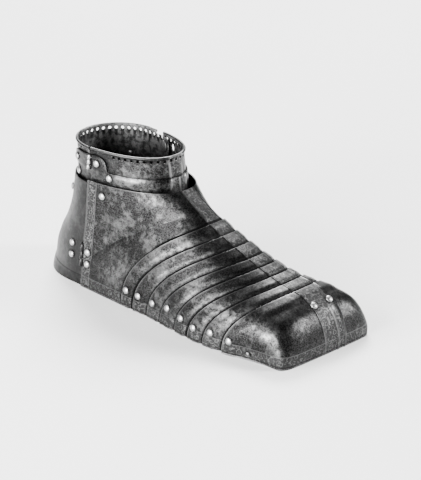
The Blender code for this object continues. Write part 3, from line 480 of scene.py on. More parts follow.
def on_row(r, turns):
    """Points of a row: turn 0 is the outer sole edge, one half the crest and 1 the inner sole edge."""
    s = np.clip(np.sin(np.pi * turns), 0, None)
    c = np.cos(np.pi * turns)
    y = np.where(c >= 0, r["shift"] - (r["shift"] + r["outer"]) * np.abs(c) ** r["wide"],
                 r["shift"] + (r["inner"] - r["shift"]) * np.abs(c) ** r["wide_inner"])
    x = r["base_x"] + (r["top_x"] - r["base_x"]) * s ** r["lean"] + r["slant"] * y
    z = r["base_z"] + (r["top_z"] - r["base_z"]) * s ** r["rise"]
    return np.stack([x + ORIGIN_X, y + ORIGIN_Y, z], -1)


def band_half(at):
    """Half the width of the etched band down the middle, which widens towards the toe."""
    share = clamp((at - SOLE_CORNER) / (TOE_ROW - SOLE_CORNER))
    return BAND_HALF_BEHIND + (BAND_HALF_IN_FRONT - BAND_HALF_BEHIND) * share


print("crest of the ball:", on_row(row(9), np.array([0.5]))[0].round(4))

# %% [markdown]
# ## Lines that follow the borders
# A raised border is only a millimetre wide. An even grid would have to be very dense to carry it, so the grid's
# own lines are laid along it instead: each row is cut into stations that crowd together at the two borders.

# %% Stations across a row
SIDE_STATIONS, MIDDLE_STATIONS = 46, 12
BORDER_STATIONS = np.array([-1.4, -0.9, -0.6, -0.3, 0.0, 0.3, 0.6, 0.9, 1.4]) * 0.001


def stations(at):
    """The points of a row at its stations, and each one's distance from the middle of the band."""
    r = row(at)
    u = np.linspace(0, 1, 900)
    half = 0.5 * (1 - (1 - u ** 2.5) ** 3)
    turns = np.concatenate([half, 1 - half[-2::-1]])
    dense = on_row(r, turns)
    across = dense[:, 1] - ORIGIN_Y - r["shift"]
    length = lengths(dense)
    border = band_half(at)
    wanted = np.concatenate([-border + BORDER_STATIONS,
                             np.linspace(-border + 0.0014, border - 0.0014, MIDDLE_STATIONS + 2)[1:-1],
                             border + BORDER_STATIONS])
    upper = np.interp(wanted, across, length)
    lower = np.linspace(0, 1, SIDE_STATIONS + 1)[:-1]
    places = np.concatenate([upper[0] * lower, upper, length[-1] - (length[-1] - upper[-1]) * lower[::-1]])
    points = np.stack([np.interp(places, length, dense[:, i]) for i in range(3)], -1)
    return points, np.interp(places, length, across), border


def plate_grid(rows):
    """The foot's surface and its outward normals over some rows."""
    wider = [rows[0] - 0.04, *rows, rows[-1] + 0.04]
    lines = [stations(at) for at in wider]
    points = np.array([line[0] for line in lines])
    across = np.array([line[1] for line in lines])[1:-1]
    border = np.array([line[2] for line in lines])[1:-1, None]
    along = points[2:] - points[:-2]
    sideways = np.gradient(points[1:-1], axis=1)
    normals = np.cross(along, sideways)
    normals /= np.linalg.norm(normals, axis=-1, keepdims=True)
    return points[1:-1], normals, across, border


print("stations in a row:", 2 * SIDE_STATIONS + MIDDLE_STATIONS + 2 * len(BORDER_STATIONS))


# %% [markdown]
# A plate is two grids of points, the inner and the outer face of the sheet, joined round their border. Its edges
# are softened a little, as a file leaves them.

# %% Plate builder
SOFT_EDGE = 0.00022
SHARP_ANGLE = math.radians(50)


def shell(name, inner, outer, marks, material=OLD_STEEL):
    """A closed plate from its inner and outer grids of points, with its edges slightly rounded."""
    rows, columns = inner.shape[:2]
    count = rows * columns
    index = np.arange(count).reshape(rows, columns)
    quads = np.stack([index[:-1, :-1], index[1:, :-1], index[1:, 1:], index[:-1, 1:]], -1).reshape(-1, 4)
    border = np.concatenate([index[0, :-1], index[:-1, -1], index[-1, :0:-1], index[:0:-1, 0]])
    following = np.roll(border, -1)
    sides = np.stack([border, following, following + count, border + count], -1)
    faces = np.concatenate([quads[:, ::-1], quads + count, sides])
    data = bpy.data.meshes.new(name)
    points = np.concatenate([inner.reshape(-1, 3), outer.reshape(-1, 3)])
    data.from_pydata(points.tolist(), [], faces.tolist())
    for mark, values in marks.items():
        layer = data.attributes.new(mark, "FLOAT", "POINT")
        layer.data.foreach_set("value", np.tile(np.asarray(values, np.float32).reshape(-1), 2))
    return finished(name, data, material, SOFT_EDGE)


def finished(name, data, material=OLD_STEEL, bevel=0):
    """The object of a mesh, with outward faces, smooth shading and a small bevel."""
    tidy = bmesh.new()
    tidy.from_mesh(data)
    bmesh.ops.recalc_face_normals(tidy, faces=tidy.faces)
    tidy.to_mesh(data)
    tidy.free()
    data.shade_smooth()
    made = link(bpy.data.objects.new(name, data))
    data.materials.append(material)
    if bevel:
        rounded = made.modifiers.new("soft_edges", "BEVEL")
        rounded.width, rounded.segments, rounded.limit_method = bevel, 2, "ANGLE"
        rounded.angle_limit = SHARP_ANGLE
    return made


def placed(piece, node):
    """The piece stands for a CAD node: it rides on that node's body, and the node is hidden."""
    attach(piece, frame["nodes"][node]["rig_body"])
    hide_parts(node)
    return piece


print("plate builder ready")

# %% [markdown]
# ## Instep plate, lames and toe cap
# Each plate lies outside the one behind it, so its rear edge shows as a bright line with a dark gap behind it.
# The lames were filed thin there and rubbed bright. Their lower edges have rusted ragged. Two raised borders run
# down the middle of every plate; on the toe cap a third ridge stands between them.

# %% Where the rivets are
def frame_at(point, normal, upright=(0, 0, 1)):
    """A place whose Z axis is the normal, turned so that its Y axis is square to the upright direction."""
    z = Vector(normal).normalized()
    y = z.cross(Vector(upright)).normalized()
    return Matrix.Translation(Vector(point)) @ Matrix((y.cross(z), y, z)).transposed().to_4x4()


def rivet_seat(node):
    """Where a CAD rivet's head meets its plate: a frame with Z out of the head, its radius and its tail's end."""
    points = np.array([vertex.co for vertex in frame["nodes"][node].data.vertices], float)
    points = np.unique(points.round(6), axis=0)
    middle = points.mean(axis=0)
    values, vectors = np.linalg.eigh(np.cov((points - middle).T))
    odd = 0 if values[1] - values[0] > values[2] - values[1] else 2
    axis = vectors[:, odd]
    along = (points - middle) @ axis
    off = np.linalg.norm((points - middle) - along[:, None] * axis, axis=1)
    head_at = along[off > 0.93 * off.max()].mean()
    if along.max() - head_at > head_at - along.min():
        axis, along, head_at = -axis, -along, -head_at
    return frame_at(middle + axis * head_at, axis), off.max(), along.min() - head_at


RIVET_PLACES = []
for node in frame["nodes"]:
    if "rivet" in node:
        place, radius, tail = rivet_seat(node)
        RIVET_PLACES.append((np.array(place.translation), radius))
print(len(RIVET_PLACES), "rivet places")


# %% [markdown]
# What makes the smooth surface armour is added here: the step that lifts a lame over the one behind it, the
# raised borders, the rusted lower edge, and the dark ring round each rivet head.

# %% Lift and relief of the plates
RIDGE_HEIGHT = 0.00045
RIDGE_WIDTH = 0.00055
MIDDLE_RIDGE_FROM = 13.3
EATEN_REACH = 0.007
EDGE_SHINE, EDGE_SHADE = 0.0008, 0.0030
MILLIMETRES = 1000


def lame_lift(rear):
    """The height of a lame over the common surface: one step at its rear, and none where the next one lies."""
    def lift(at):
        share = clamp((at - rear - LAME_OVERLAP) / (1 - LAME_OVERLAP))
        return STEP * (1 - share * share * (3 - 2 * share))
    return lift


def ridge(across, at, width=RIDGE_WIDTH):
    """A round ridge: 1 on its line, and nothing two widths away."""
    return np.exp(-((across - at) / width) ** 2)


def ragged(x, amount):
    """How far a rusted edge has been eaten away, along the foot."""
    wave = (np.sin(x * 410) + 0.7 * np.sin(x * 977 + 1.3) + 0.5 * np.sin(x * 2310 + 0.4)) / 2.2
    return amount * np.clip(0.5 + 0.6 * wave, 0, 1.2)


def spacing_of_rows(points, rows):
    return np.linalg.norm(np.gradient(points, np.array(rows), axis=0), axis=-1)


def halo(points, reach=0.0013):
    """A dark ring round each rivet head: 1 at its rim and 0 a little further out."""
    shade_and_dark_marks = np.zeros(points.shape[:-1])
    for centre, radius in RIVET_PLACES:
        away = np.linalg.norm(points - centre, axis=-1) - radius
        shade_and_dark_marks = np.maximum(shade_and_dark_marks, np.clip(1 - away / reach, 0, 1))
    return shade_and_dark_marks * 0.85


def hinge_x(z):
    """Where the front and rear halves meet, along the foot."""
    heights = ROWS[:SOLE_CORNER + 1, 1] * INSTEP_HEIGHT
    along = (ROWS[:SOLE_CORNER + 1, 0] - 0.5) * FOOT_LENGTH
    return np.interp(z, heights[::-1], along[::-1]) + ORIGIN_X


def relief_of(rows, across, border, middle_ridge):
    """How far the raised borders, and on the toe cap the ridges between them, stand up."""
    relief = RIDGE_HEIGHT * (ridge(across, -border) + ridge(across, border))
    if middle_ridge:
        strength = np.clip((np.array(rows) - MIDDLE_RIDGE_FROM) / 0.5, 0, 1)[:, None]
        relief = relief + 1.5 * RIDGE_HEIGHT * strength * (
            ridge(across, 0.32 * border, 0.0008) + 0.6 * ridge(across, border, 0.0009))
    return relief


def eaten_away(layer, on_sole, clear, eaten):
    """Lifts the lowest part of a face so that its edge is as ragged as rust has left it."""
    lowest = clear + ragged(layer[..., 0], eaten)
    share = np.clip(1 - layer[..., 2] / EATEN_REACH, 0, 1)
    layer[..., 2] = np.where(on_sole, layer[..., 2] + lowest * share, layer[..., 2])
    layer[..., 2] = np.maximum(layer[..., 2], np.where(on_sole, lowest, 0.0))


print("relief ready")

# %% [markdown]
# One function then makes any plate over the foot. It lifts the two faces off the common surface and stores how
# rubbed, how darkened by painted shade and by rivet rings, and how far from a border each point is, so that the
# steel can follow the plate.

# %% One plate over the foot
def foot_plate(node, rows, lift, next_edge, clear=0.0, eaten=0.0, middle_ridge=False, hinge_edge=False):
    """One plate over the foot, from its rows, its lift and the row at which the next plate begins."""
    points, normals, across, border = plate_grid(rows)
    raised = np.array([lift(at) for at in rows])[:, None]
    relief = relief_of(rows, across, border, middle_ridge)
    inner = points + normals * raised[..., None]
    outer = points + normals * (raised + WALL + relief)[..., None]
    on_sole = np.array([at >= SOLE_CORNER for at in rows])[:, None]
    for layer in (inner, outer):
        eaten_away(layer, on_sole, clear, eaten)
    crest = np.clip(relief / RIDGE_HEIGHT, 0, 1) * 0.7
    behind = np.linalg.norm(points - points[:1], axis=-1)
    before = np.array([next_edge - at for at in rows])[:, None] * spacing_of_rows(points, rows)
    # Painted shade: a dark strip where the next plate's edge lies over this one, as the shadow in the gap
    grime = np.where(before > -0.0002, np.clip((EDGE_SHADE - np.abs(before)) / 0.0006, 0, 1), 1.0)
    marks = {"wear": np.maximum(np.exp(-behind / EDGE_SHINE) * 0.9, crest),
             "grime": np.maximum(grime, halo(points)),
             "inset": (border - np.abs(across)) * MILLIMETRES + INSET_OFFSET,
             "sole": np.maximum(points[..., 2], 0) * MILLIMETRES + 0.05,
             "frayed": np.full(across.shape, 1.0 if eaten else 0.7)}
    if hinge_edge:
        from_hinge = np.clip(points[..., 0] - hinge_x(points[..., 2]), 0, 0.05)
        marks["edge"] = edge = np.where(across < 0, from_hinge, 0.0) * MILLIMETRES
        marks["wear"] = np.maximum(marks["wear"] * 0.5, np.exp(-edge / 0.6) * 0.6 * (edge > 0))
    return placed(shell(node.replace("_plate", "") + "_fine", inner, outer, marks), node)


print("foot plate ready")

# %% [markdown]
# Nine plates come out of one function. The instep plate lies lowest. Each lame covers half a row of the plate
# behind it, and the toe cap closes the front.

# %% Make the foot's plates
def spaced(start, end, step, fine=(0.0, 0.015, 0.04, 0.09)):
    """Row numbers from start to end, crowded at both ends so that the edges stay crisp."""
    inside = np.linspace(start + fine[-1], end - fine[-1], int((end - start) / step) + 1)[1:-1]
    return [start + f for f in fine] + list(inside) + [end - f for f in reversed(fine)]


instep = foot_plate("instep_plate", spaced(TOP_EDGE, FIRST_LAME + LAME_OVERLAP, 0.10), lambda at: 0.0,
                    FIRST_LAME, hinge_edge=True)
for number in range(1, TOE_ROW - FIRST_LAME + 1):
    rear = FIRST_LAME + number - 1
    foot_plate(f"lame_{number}", spaced(rear, rear + 1 + LAME_OVERLAP, 0.09), lame_lift(rear), rear + 1,
               LAME_CLEAR, 0.0007)
foot_plate("toe_cap", spaced(TOE_ROW, TOE_END, 0.10), lame_lift(TOE_ROW), TOE_END + 9, middle_ridge=True)
print("instep plate, 7 lames and toe cap")

# %% [markdown]
# ## The collar
# The collar is a short oval tube of three pieces. Its rim is rolled outward over a wire, which keeps it stiff and
# kind to the leg, and a row of small holes under the rim once held a sewn lining. Its form is one function of
# height and turn, so that each of the three pieces lies on the same tube.

# %% Sizes of the collar
COLLAR_HEIGHT = 0.1222
COLLAR_HALF_WIDTH = 0.0322
COLLAR_FRONT = 0.0150
COLLAR_BACK = 0.1118
COLLAR_SPREAD_FRONT = 0.0055
COLLAR_ROUND = 0.90
RIM_RADIUS = 0.0012
RIM_HOLE_RADIUS = 0.00135
RIM_HOLE_DROP = 0.0041
RIM_HOLE_PITCH = 0.0053
UPPER_LAME_EDGE = 0.0945
LOWER_LAME_TOP = 0.1045
LOWER_LAME_EDGE = 0.0805
LAME_LEFT_END = 0.0175
EAR_LENGTH = 0.0185
EAR_TOP = 0.1165
REAR_COLLAR_EDGE = 0.0785
TONGUE_LENGTH = 0.0280
TONGUE_TOP = 0.1195
TONGUE_EDGE = 0.0885
TONGUE_SPRING = 0.18
SEAM = GAP + 0.0002
HINGE_LOW, HINGE_HIGH = 0.1035, 0.1160
LINE = float(hinge_x(INSTEP_HEIGHT)) - ORIGIN_X


def collar(z, turn):
    """A point of the collar's inner surface: turn 0 to 1 round the front, 1 to 2 round the back."""
    drop = max(COLLAR_HEIGHT - z, 0.0) / (COLLAR_HEIGHT - LOWER_LAME_EDGE)
    front = -COLLAR_FRONT + COLLAR_SPREAD_FRONT * drop
    s, c = math.sin(math.pi * turn), math.cos(math.pi * turn)
    reach = front - LINE if s >= 0 else LINE + COLLAR_BACK
    power = COLLAR_ROUND if s >= 0 else 1.0
    x = LINE + reach * math.copysign(abs(s) ** power, s)
    y = -COLLAR_HALF_WIDTH * math.copysign(abs(c) ** power, c)
    return np.array([x + ORIGIN_X, y + ORIGIN_Y, z])


def collar_normal(z, turn, step=0.004):
    """The level direction straight out of the collar."""
    normal = np.cross(collar(z, turn + step) - collar(z, turn - step), (0, 0, 1))
    return normal / np.linalg.norm(normal)


def collar_turn(along, side=1):
    """The turn at a distance forward of the hinge line, on the inner side (1) or the outer (-1)."""
    share = clamp(along / (-COLLAR_FRONT - LINE))
    turn = math.asin(share ** (1 / COLLAR_ROUND)) / math.pi
    return 1 - turn if side > 0 else turn


def even_turns(start, end, z, pitch):
    """Turns of places that lie an even pitch apart, measured along the collar."""
    turns = np.linspace(start, end, 500)
    points = np.array([collar(z, turn) for turn in turns])
    length = lengths(points)
    count = int(length[-1] / pitch)
    places = (length[-1] - (count - 1) * pitch) / 2 + pitch * np.arange(count)
    return np.interp(places, length, turns)


print("collar front to back:", round(COLLAR_BACK - COLLAR_FRONT, 4), "m")


# %% [markdown]
# A collar piece is swept round the ankle: one closed outline of wall and bead, carried through many turns. The
# outline may change on the way, which is how the ear and the tongue get their form.

# %% Sweeping an outline
MARKS = ("inset", "sole", "edge", "wear", "frayed", "grime", "inside")
ROUNDED = 0.0002


def bead_outline(low, top, bead=1.0):
    """Wall and rolled rim as pairs of distance out and height; bead is the share of the rim's full size."""
    radius = RIM_RADIUS * bead
    turns = np.radians(np.linspace(180, -80, 12))
    roll = [(radius * (1 + math.cos(a)), top - radius * (1 - math.sin(a))) for a in turns]
    walls = np.linspace(roll[-1][1] - 0.0004, low, 5)
    return [(0.0, low + ROUNDED), *[(0.0, z) for z in walls[-2::-1]], *roll,
            *[(WALL, z) for z in walls[:-1]], (WALL, low + ROUNDED), (WALL - ROUNDED, low), (ROUNDED, low)]


def wall_outline(low, top, lift):
    """A plain wall with rounded edges, lifted off the collar's surface."""
    face = lift + WALL
    heights = np.linspace(low, top, 6)
    return [(lift, low + ROUNDED), *[(lift, z) for z in heights[1:-1]], (lift, top - ROUNDED),
            (lift + ROUNDED, top), (face - ROUNDED, top), (face, top - ROUNDED),
            *[(face, z) for z in heights[-2:0:-1]], (face, low + ROUNDED),
            (face - ROUNDED, low), (lift + ROUNDED, low)]


def tube(mesh, rings):
    """A cap on the first and the last ring of points, and faces between neighbours."""
    mesh.faces.new(rings[0][::-1])
    mesh.faces.new(rings[-1])
    for low, high in zip(rings, rings[1:]):
        for i in range(len(low)):
            j = (i + 1) % len(low)
            mesh.faces.new((low[i], low[j], high[j], high[i]))


def swept(name, turns, outline_at, marks_at, relief_at=lambda point: 0.0):
    """A closed solid round the ankle: outline_at(turn) gives its section, marks_at(point, out, z) its numbers."""
    mesh = bmesh.new()
    layers = {mark: mesh.verts.layers.float.new(mark) for mark in MARKS}
    rings = []
    for turn in turns:
        ring = []
        for out, z in outline_at(turn):
            normal = collar_normal(z, turn)
            point = collar(z, turn) + normal * out
            if out > 0.6 * WALL:
                point = point + normal * relief_at(point)
            vert = mesh.verts.new(point)
            for mark, value in marks_at(point, out, z).items():
                vert[layers[mark]] = value
            ring.append(vert)
        rings.append(ring)
    tube(mesh, rings)
    return finished(name, mesh_data(name, mesh))


print("sweep ready")

# %% [markdown]
# The holes are real ones. All the cutters of a piece are gathered in one mesh and taken away by one Boolean,
# which is applied at once so that the piece holds the finished faces.

# %% Cutting holes
CUTTER_LENGTH = 0.008


def pierced(piece, cutters):
    """Cuts holes: each cutter is a kind, a place and its sizes, and the Boolean is applied at once."""
    mesh = bmesh.new()
    for kind, place, size in cutters:
        if kind == "round":
            bmesh.ops.create_cone(mesh, cap_ends=True, segments=20, radius1=size[0], radius2=size[0],
                                  depth=size[1], matrix=place)
        elif kind == "outline":
            depths = (-CUTTER_LENGTH / 2, CUTTER_LENGTH / 2)
            tube(mesh, [[mesh.verts.new(place @ Vector((x, y, z))) for x, y in size] for z in depths])
        else:
            made = bmesh.ops.create_cube(mesh, size=1.0)
            bmesh.ops.transform(mesh, matrix=place @ Matrix.Diagonal((*size, 1.0)), verts=made["verts"])
    bmesh.ops.recalc_face_normals(mesh, faces=mesh.faces)
    cutter = link(bpy.data.objects.new("cutter", mesh_data("cutter", mesh)))
    boolean = piece.modifiers.new("holes", "BOOLEAN")
    boolean.operation, boolean.object = "DIFFERENCE", cutter
    bpy.context.view_layer.update()
    graph = bpy.context.evaluated_depsgraph_get()
    piece.data = bpy.data.meshes.new_from_object(piece.evaluated_get(graph))
    piece.modifiers.clear()
    bpy.data.objects.remove(cutter)
    piece.data.shade_smooth()
    piece.data.set_sharp_from_angle(angle=math.radians(45))
    return piece


def drop_hole(turn, low, high, radius):
    """A cutter with the outline of a drop: round below and pointed above."""
    middle, half = (low + high) / 2, (high - low) / 2
    outline = []
    for a in np.linspace(0, 2 * math.pi, 25)[:-1]:
        narrow = 1.0 if math.cos(a) < 0 else math.sin(min(a, 2 * math.pi - a)) ** 0.3
        width = radius * math.sin(a) * (0.45 + 0.55 * narrow) * (1 - 0.45 * max(math.cos(a), 0))
        outline.append((half * math.cos(a), width))
    return ("outline", frame_at(collar(middle, turn), collar_normal(middle, turn)), outline)


def drilled(turns, z, radius):
    return [("round", frame_at(collar(z, t), collar_normal(z, t)), (radius, CUTTER_LENGTH)) for t in turns]


print("cutters ready")

# %% [markdown]
# Like the foot's plates, the collar carries borders, wear, dark rings round the rivets, painted shade above the
# lower lame and painted light on its inner faces. At the front the upper lame has two fine borders and the lower
# one has three strong flutes.

# %% Relief and marks of the collar
COLLAR_BAND, FLUTE_PITCH = 0.0066, 0.0080
BORDER_PLACES = (-COLLAR_BAND, COLLAR_BAND)
FLUTE_PLACES = (-FLUTE_PITCH, 0.0, FLUTE_PITCH)
FLUTE_HEIGHT, FLUTE_WIDTH = 0.0010, 0.0014
FRONT_FROM = 0.03


def in_front(point):
    return point[0] > LINE + FRONT_FROM


def inside_light(z):
    """Painted light on the inner faces: brighter near the rim, where more light reaches in."""
    return clamp((z - 0.088) / 0.028)


def collar_marks(point, out, z, low, top=1.0, crest_places=BORDER_PLACES):
    """Etched band at the front, rubbing along the lower edge and the rim, painted shade above the lower lame, and
    painted light on the inner faces.
    """
    y = point[1] - ORIGIN_Y
    crest = min(sum(ridge(y, at, 0.0010) for at in crest_places) * 1.4, 1.2)
    worn_and_highlight = max(math.exp(-(z - low) / 0.0006), math.exp(-max(top - z, 0) / 0.0008))
    return {"inset": (COLLAR_BAND - abs(y)) * MILLIMETRES + INSET_OFFSET if in_front(point) and out > 0 else 0.0,
            "wear": max(worn_and_highlight * (0.8 if out > 0 else 0.2), crest if in_front(point) and out > WALL / 2 else 0.0),
            # Painted shade on the upper lame just above the lower lame, and painted light on the inner faces
            "grime": max(float(halo(point)), shade_above_edge(z, LOWER_LAME_TOP) if 0 < out < STEP else 0.0),
            "inside": inside_light(z) if out <= 0 else 0.0}


def shade_above_edge(z, edge, width=0.0009):
    """Painted shade: dark just above an edge that lies outside, and under it."""
    return clamp(1.6 - (z - edge) / width * 1.6) if z > edge - 0.002 else 1.0


def fluted(places, height, width):
    """Upright ridges at some distances from the middle of the front, as a relief for swept."""
    def relief(point):
        return height * sum(ridge(point[1] - ORIGIN_Y, at, width) for at in places) if in_front(point) else 0.0
    return relief


print("flutes at", FLUTE_PLACES)

# %% [markdown]
# ### The two front lames
# The upper lame carries the rolled rim and the hole for the closing stud. The lower one overlaps it outside and
# rises at its end into a rounded ear, which is the front leaf of the collar hinge.

# %% Collar lames
KEYHOLE_PLACE, KEYHOLE_LOW, KEYHOLE_HIGH, KEYHOLE_RADIUS = 0.0305, 0.1095, 0.1165, 0.0019
left_end = collar_turn(LAME_LEFT_END)
ear_end = collar_turn(EAR_LENGTH, -1)


def lower_top(turn):
    """The lower lame's top edge: level, and raised into a rounded ear beside the hinge."""
    share = (collar(LOWER_LAME_TOP, turn)[0] - ORIGIN_X - LINE) / EAR_LENGTH
    if share >= 1 or turn > 0.5:
        return LOWER_LAME_TOP
    return LOWER_LAME_TOP + (EAR_TOP - LOWER_LAME_TOP) * min(1.0, (1 - max(share, 0.0) ** 5) ** 0.4)


ear_shares = np.concatenate([np.linspace(0, 0.8, 9), 1 - 0.2 * (1 - np.linspace(0, 1, 12)[1:-1]) ** 2])
ear_turns = [collar_turn(SEAM + (EAR_LENGTH - SEAM) * share, -1) for share in ear_shares]
front_turns = [*np.linspace(ear_end, 0.39, 70), *np.linspace(0.39, 0.61, 120)[1:],
               *np.linspace(0.61, left_end, 60)[1:]]
upper = swept("collar_upper_fine", ear_turns + front_turns,
              lambda turn: bead_outline(UPPER_LAME_EDGE, COLLAR_HEIGHT),
              lambda point, out, z: collar_marks(point, out, z, UPPER_LAME_EDGE, COLLAR_HEIGHT),
              fluted(BORDER_PLACES, RIDGE_HEIGHT, RIDGE_WIDTH))
lower = swept("collar_lower_fine", ear_turns + front_turns,
              lambda turn: wall_outline(LOWER_LAME_EDGE, lower_top(turn), STEP),
              lambda point, out, z: collar_marks(point, out, z, LOWER_LAME_EDGE, crest_places=FLUTE_PLACES),
              fluted(FLUTE_PLACES, FLUTE_HEIGHT, FLUTE_WIDTH))
rim_z = COLLAR_HEIGHT - RIM_HOLE_DROP
rim_turns = even_turns(ear_end + 0.01, left_end - 0.01, rim_z, RIM_HOLE_PITCH)
keyhole = drop_hole(collar_turn(KEYHOLE_PLACE), KEYHOLE_LOW, KEYHOLE_HIGH, KEYHOLE_RADIUS)
pierced(upper, drilled(rim_turns, rim_z, RIM_HOLE_RADIUS) + [keyhole])
placed(upper, "collar_upper")
placed(lower, "collar_lower")
print("two collar lames")

# %% [markdown]
# ### The rear half
# The rear collar runs round the heel and ends in a tongue that slips inside the front half, where a stud springs
# into a hole. The tongue loses most of its bead and moves inward on the way, so that it clears the ring outside.

# %% Rear collar
def rear_section(turn):
    """The rear collar's outline: full height and bead, or lower, plain and further inside along the tongue."""
    sprung = max(0.0, collar(COLLAR_HEIGHT, turn)[0] - ORIGIN_X - LINE) if turn < 1 else 0.0
    share = sprung / LAME_LEFT_END
    inset = STEP * min(share, 1.0) ** 0.5 + TONGUE_SPRING * max(0.0, sprung - LAME_LEFT_END)
    low = REAR_COLLAR_EDGE + (TONGUE_EDGE - REAR_COLLAR_EDGE) * clamp((share - 0.145) / 0.01)
    plain = clamp((share - 0.54) / 0.03)
    top = COLLAR_HEIGHT + (TONGUE_TOP - COLLAR_HEIGHT) * plain
    return [(out - inset, z) for out, z in bead_outline(low, top, max(1.0 - plain, 0.30))]


def rear_marks(point, out, z):
    worn_and_highlight = max(math.exp(-max(z - REAR_COLLAR_EDGE, 0) / 0.0006), math.exp(-abs(COLLAR_HEIGHT - z) / 0.0008))
    return {"wear": worn_and_highlight * 0.7, "grime": float(halo(point)) if out > 0 else 0.0,
            # Painted light on the inner faces near the rim
            "inside": inside_light(z) if out < WALL / 2 else 0.0}


overlap_shares = (0.04, 0.08, 0.145, 0.155, 0.3, 0.45, 0.54, 0.57, 0.7, 0.85, 1.0)
tongue_shares = np.linspace(0, 1, 9)[1:]
rear_turns = [*np.linspace(2 - 0.006, 1.0, 150),
              *[collar_turn(LAME_LEFT_END * share) for share in overlap_shares],
              *[collar_turn(LAME_LEFT_END + (TONGUE_LENGTH - LAME_LEFT_END) * share) for share in tongue_shares]]
rear = swept("rear_collar_fine", rear_turns, rear_section, rear_marks)
pierced(rear, drilled(even_turns(1.0 - 0.10, 2 - 0.09, rim_z, RIM_HOLE_PITCH), rim_z, RIM_HOLE_RADIUS))
placed(rear, "rear_collar")
print("rear collar")

# %% [markdown]
# ## The heel plate
# The heel plate is one sheet bent round the heel and flared outward at the sole. It tucks inside the instep
# plate at both sides. It is lofted level by level, and a small box is cut from it where the hinge sits.

# %% Heel plate
HEEL_TOP = 0.0925
HEEL_OVERLAP = 0.0045
HEEL_OVERLAP_INNER = 0.0090
# Heights of a painted highlight and a painted shade along the flange's bend
FLANGE_HIGHLIGHT, FLANGE_SHADE = 0.0100, 0.0088
# Height as a share of the instep's height, then how far the back and the sides stand out
HEEL_PROFILE = np.array([
    [0.000, 0.0332, 0.0035],
    [0.035, 0.0330, 0.0025],
    [0.075, 0.0320, 0.0010],
    [0.130, 0.0300, 0.0002],
    [0.210, 0.0288, 0.0000],
    [0.350, 0.0235, 0.0000],
    [0.550, 0.0122, 0.0000],
    [0.760, 0.0043, 0.0000],
    [1.000, 0.0003, 0.0000],
])


def heel_level(z, turns):
    """The heel plate's inner surface at a height."""
    at = float(np.interp(z, HEEL_PROFILE[:, 0] * INSTEP_HEIGHT, range(len(HEEL_PROFILE))))
    _, back_out, side_out = smooth(HEEL_PROFILE, at)
    corner = float(np.interp(z, (ROWS[:SOLE_CORNER + 1, 1] * INSTEP_HEIGHT)[::-1], [3, 2, 1, 0]))
    r = row(corner)
    s, c = np.sin(np.pi * turns), np.cos(np.pi * turns)
    side = np.where(c < 0, r["inner"], r["outer"])
    x = r["base_x"] + (r["base_x"] + COLLAR_BACK + back_out + WALL) * s
    y = -(side - STEP + side_out * np.sin(2 * np.pi * turns) ** 2) * c
    return np.stack([x + ORIGIN_X, y + ORIGIN_Y, np.full(turns.shape, z)], -1)


depth = COLLAR_BACK + float(hinge_x(0.05)) - ORIGIN_X + 0.02
heel_turns = np.linspace(1 - HEEL_OVERLAP_INNER / depth / math.pi, 2 + HEEL_OVERLAP / depth / math.pi, 110)
levels = np.concatenate([np.linspace(0, 0.022, 26), np.linspace(0.022, HEEL_TOP, 40)[1:]])
heel_points = np.array([heel_level(z, heel_turns) for z in levels])
heel_normals = np.cross(np.gradient(heel_points, axis=1), np.gradient(heel_points, axis=0))
heel_normals /= np.linalg.norm(heel_normals, axis=-1, keepdims=True)
if heel_normals[30, 55, 0] > 0:
    heel_normals = -heel_normals
heel_outer = heel_points + heel_normals * WALL
heel_outer[0, :, 2] = 0.0
heights = heel_points[..., 2]
# The bottom edge is rubbed bright; along the flange's bend a painted highlight lies above a painted shade line
heel_marks = {"wear": np.exp(-heights / 0.0006) * 0.6 + ridge(heights, FLANGE_HIGHLIGHT, 0.0006) * 0.6,
              "grime": np.maximum(halo(heel_outer), ridge(heights, FLANGE_SHADE, 0.0006) * 0.7)}
heel_plate = shell("heel_fine", heel_points, heel_outer, heel_marks, HEEL_STEEL)
print("heel plate", len(levels), "levels")

# %% [markdown]
# ## The hinges
# The rear half swings open on two small hinges in one line on the outer side. Their common axis comes from the
# CAD joint, so a knuckle drawn here turns about the same line as the solid under it.

# %% Hinge frame
heel_joint = next(joint for joint in frame["joints"] if joint["name"] == "heel_hinge")
AXIS_POINT, AXIS = Vector(heel_joint["pos_m"]), Vector(heel_joint["axis"]).normalized()
if AXIS.z < 0:
    AXIS = -AXIS
BARREL_RADIUS = 0.00162
NOTCH_REACH = 0.00195
HEEL_HINGE_LOW, HEEL_HINGE_HIGH = 0.0185, 0.0380


def axis_frame(z):
    """The place on the hinges' common axis at a height, with its Z along the axis."""
    return frame_at(AXIS_POINT + AXIS * ((z - AXIS_POINT.z) / AXIS.z), AXIS, (1, 0, 0))


def hinge_notch(forward, backward, spare):
    """A cutter for the gap that a plate leaves for the heel hinge, by its reach from the axis."""
    height = HEEL_HINGE_HIGH - HEEL_HINGE_LOW + 2 * spare
    middle = Matrix.Translation(((forward - backward) / 2, 0, 0))
    return ("square", axis_frame((HEEL_HINGE_LOW + HEEL_HINGE_HIGH) / 2) @ middle,
            (forward + backward, 12 * WALL, height))


# The heel plate's front corner also ends below the collar lame, which would else stand in its way
corner_low = LOWER_LAME_EDGE - 4 * GAP
corner_place = (AXIS_POINT + AXIS * ((corner_low + INSTEP_HEIGHT) / 2 - AXIS_POINT.z)
                + Vector((HEEL_OVERLAP - GAP, 0, 0)))
corner = ("square", Matrix.Translation(corner_place),
          (2 * HEEL_OVERLAP, 4 * HEEL_OVERLAP, INSTEP_HEIGHT - corner_low))
pierced(heel_plate, [hinge_notch(2 * HEEL_OVERLAP, NOTCH_REACH, 4 * GAP), corner])
pierced(instep, [hinge_notch(NOTCH_REACH, HEEL_OVERLAP, GAP)])
placed(heel_plate, "heel_plate")
print("hinge axis through", tuple(round(x, 4) for x in AXIS_POINT))


# %% [markdown]
# ### The knuckles
# A knuckle is a strip rolled round the pin. The CAD solids have seven-sided ones, so a round sleeve is turned
# over each of the six. The pins and the hidden leaves stay as they are, in the lighter steel of the hinges.

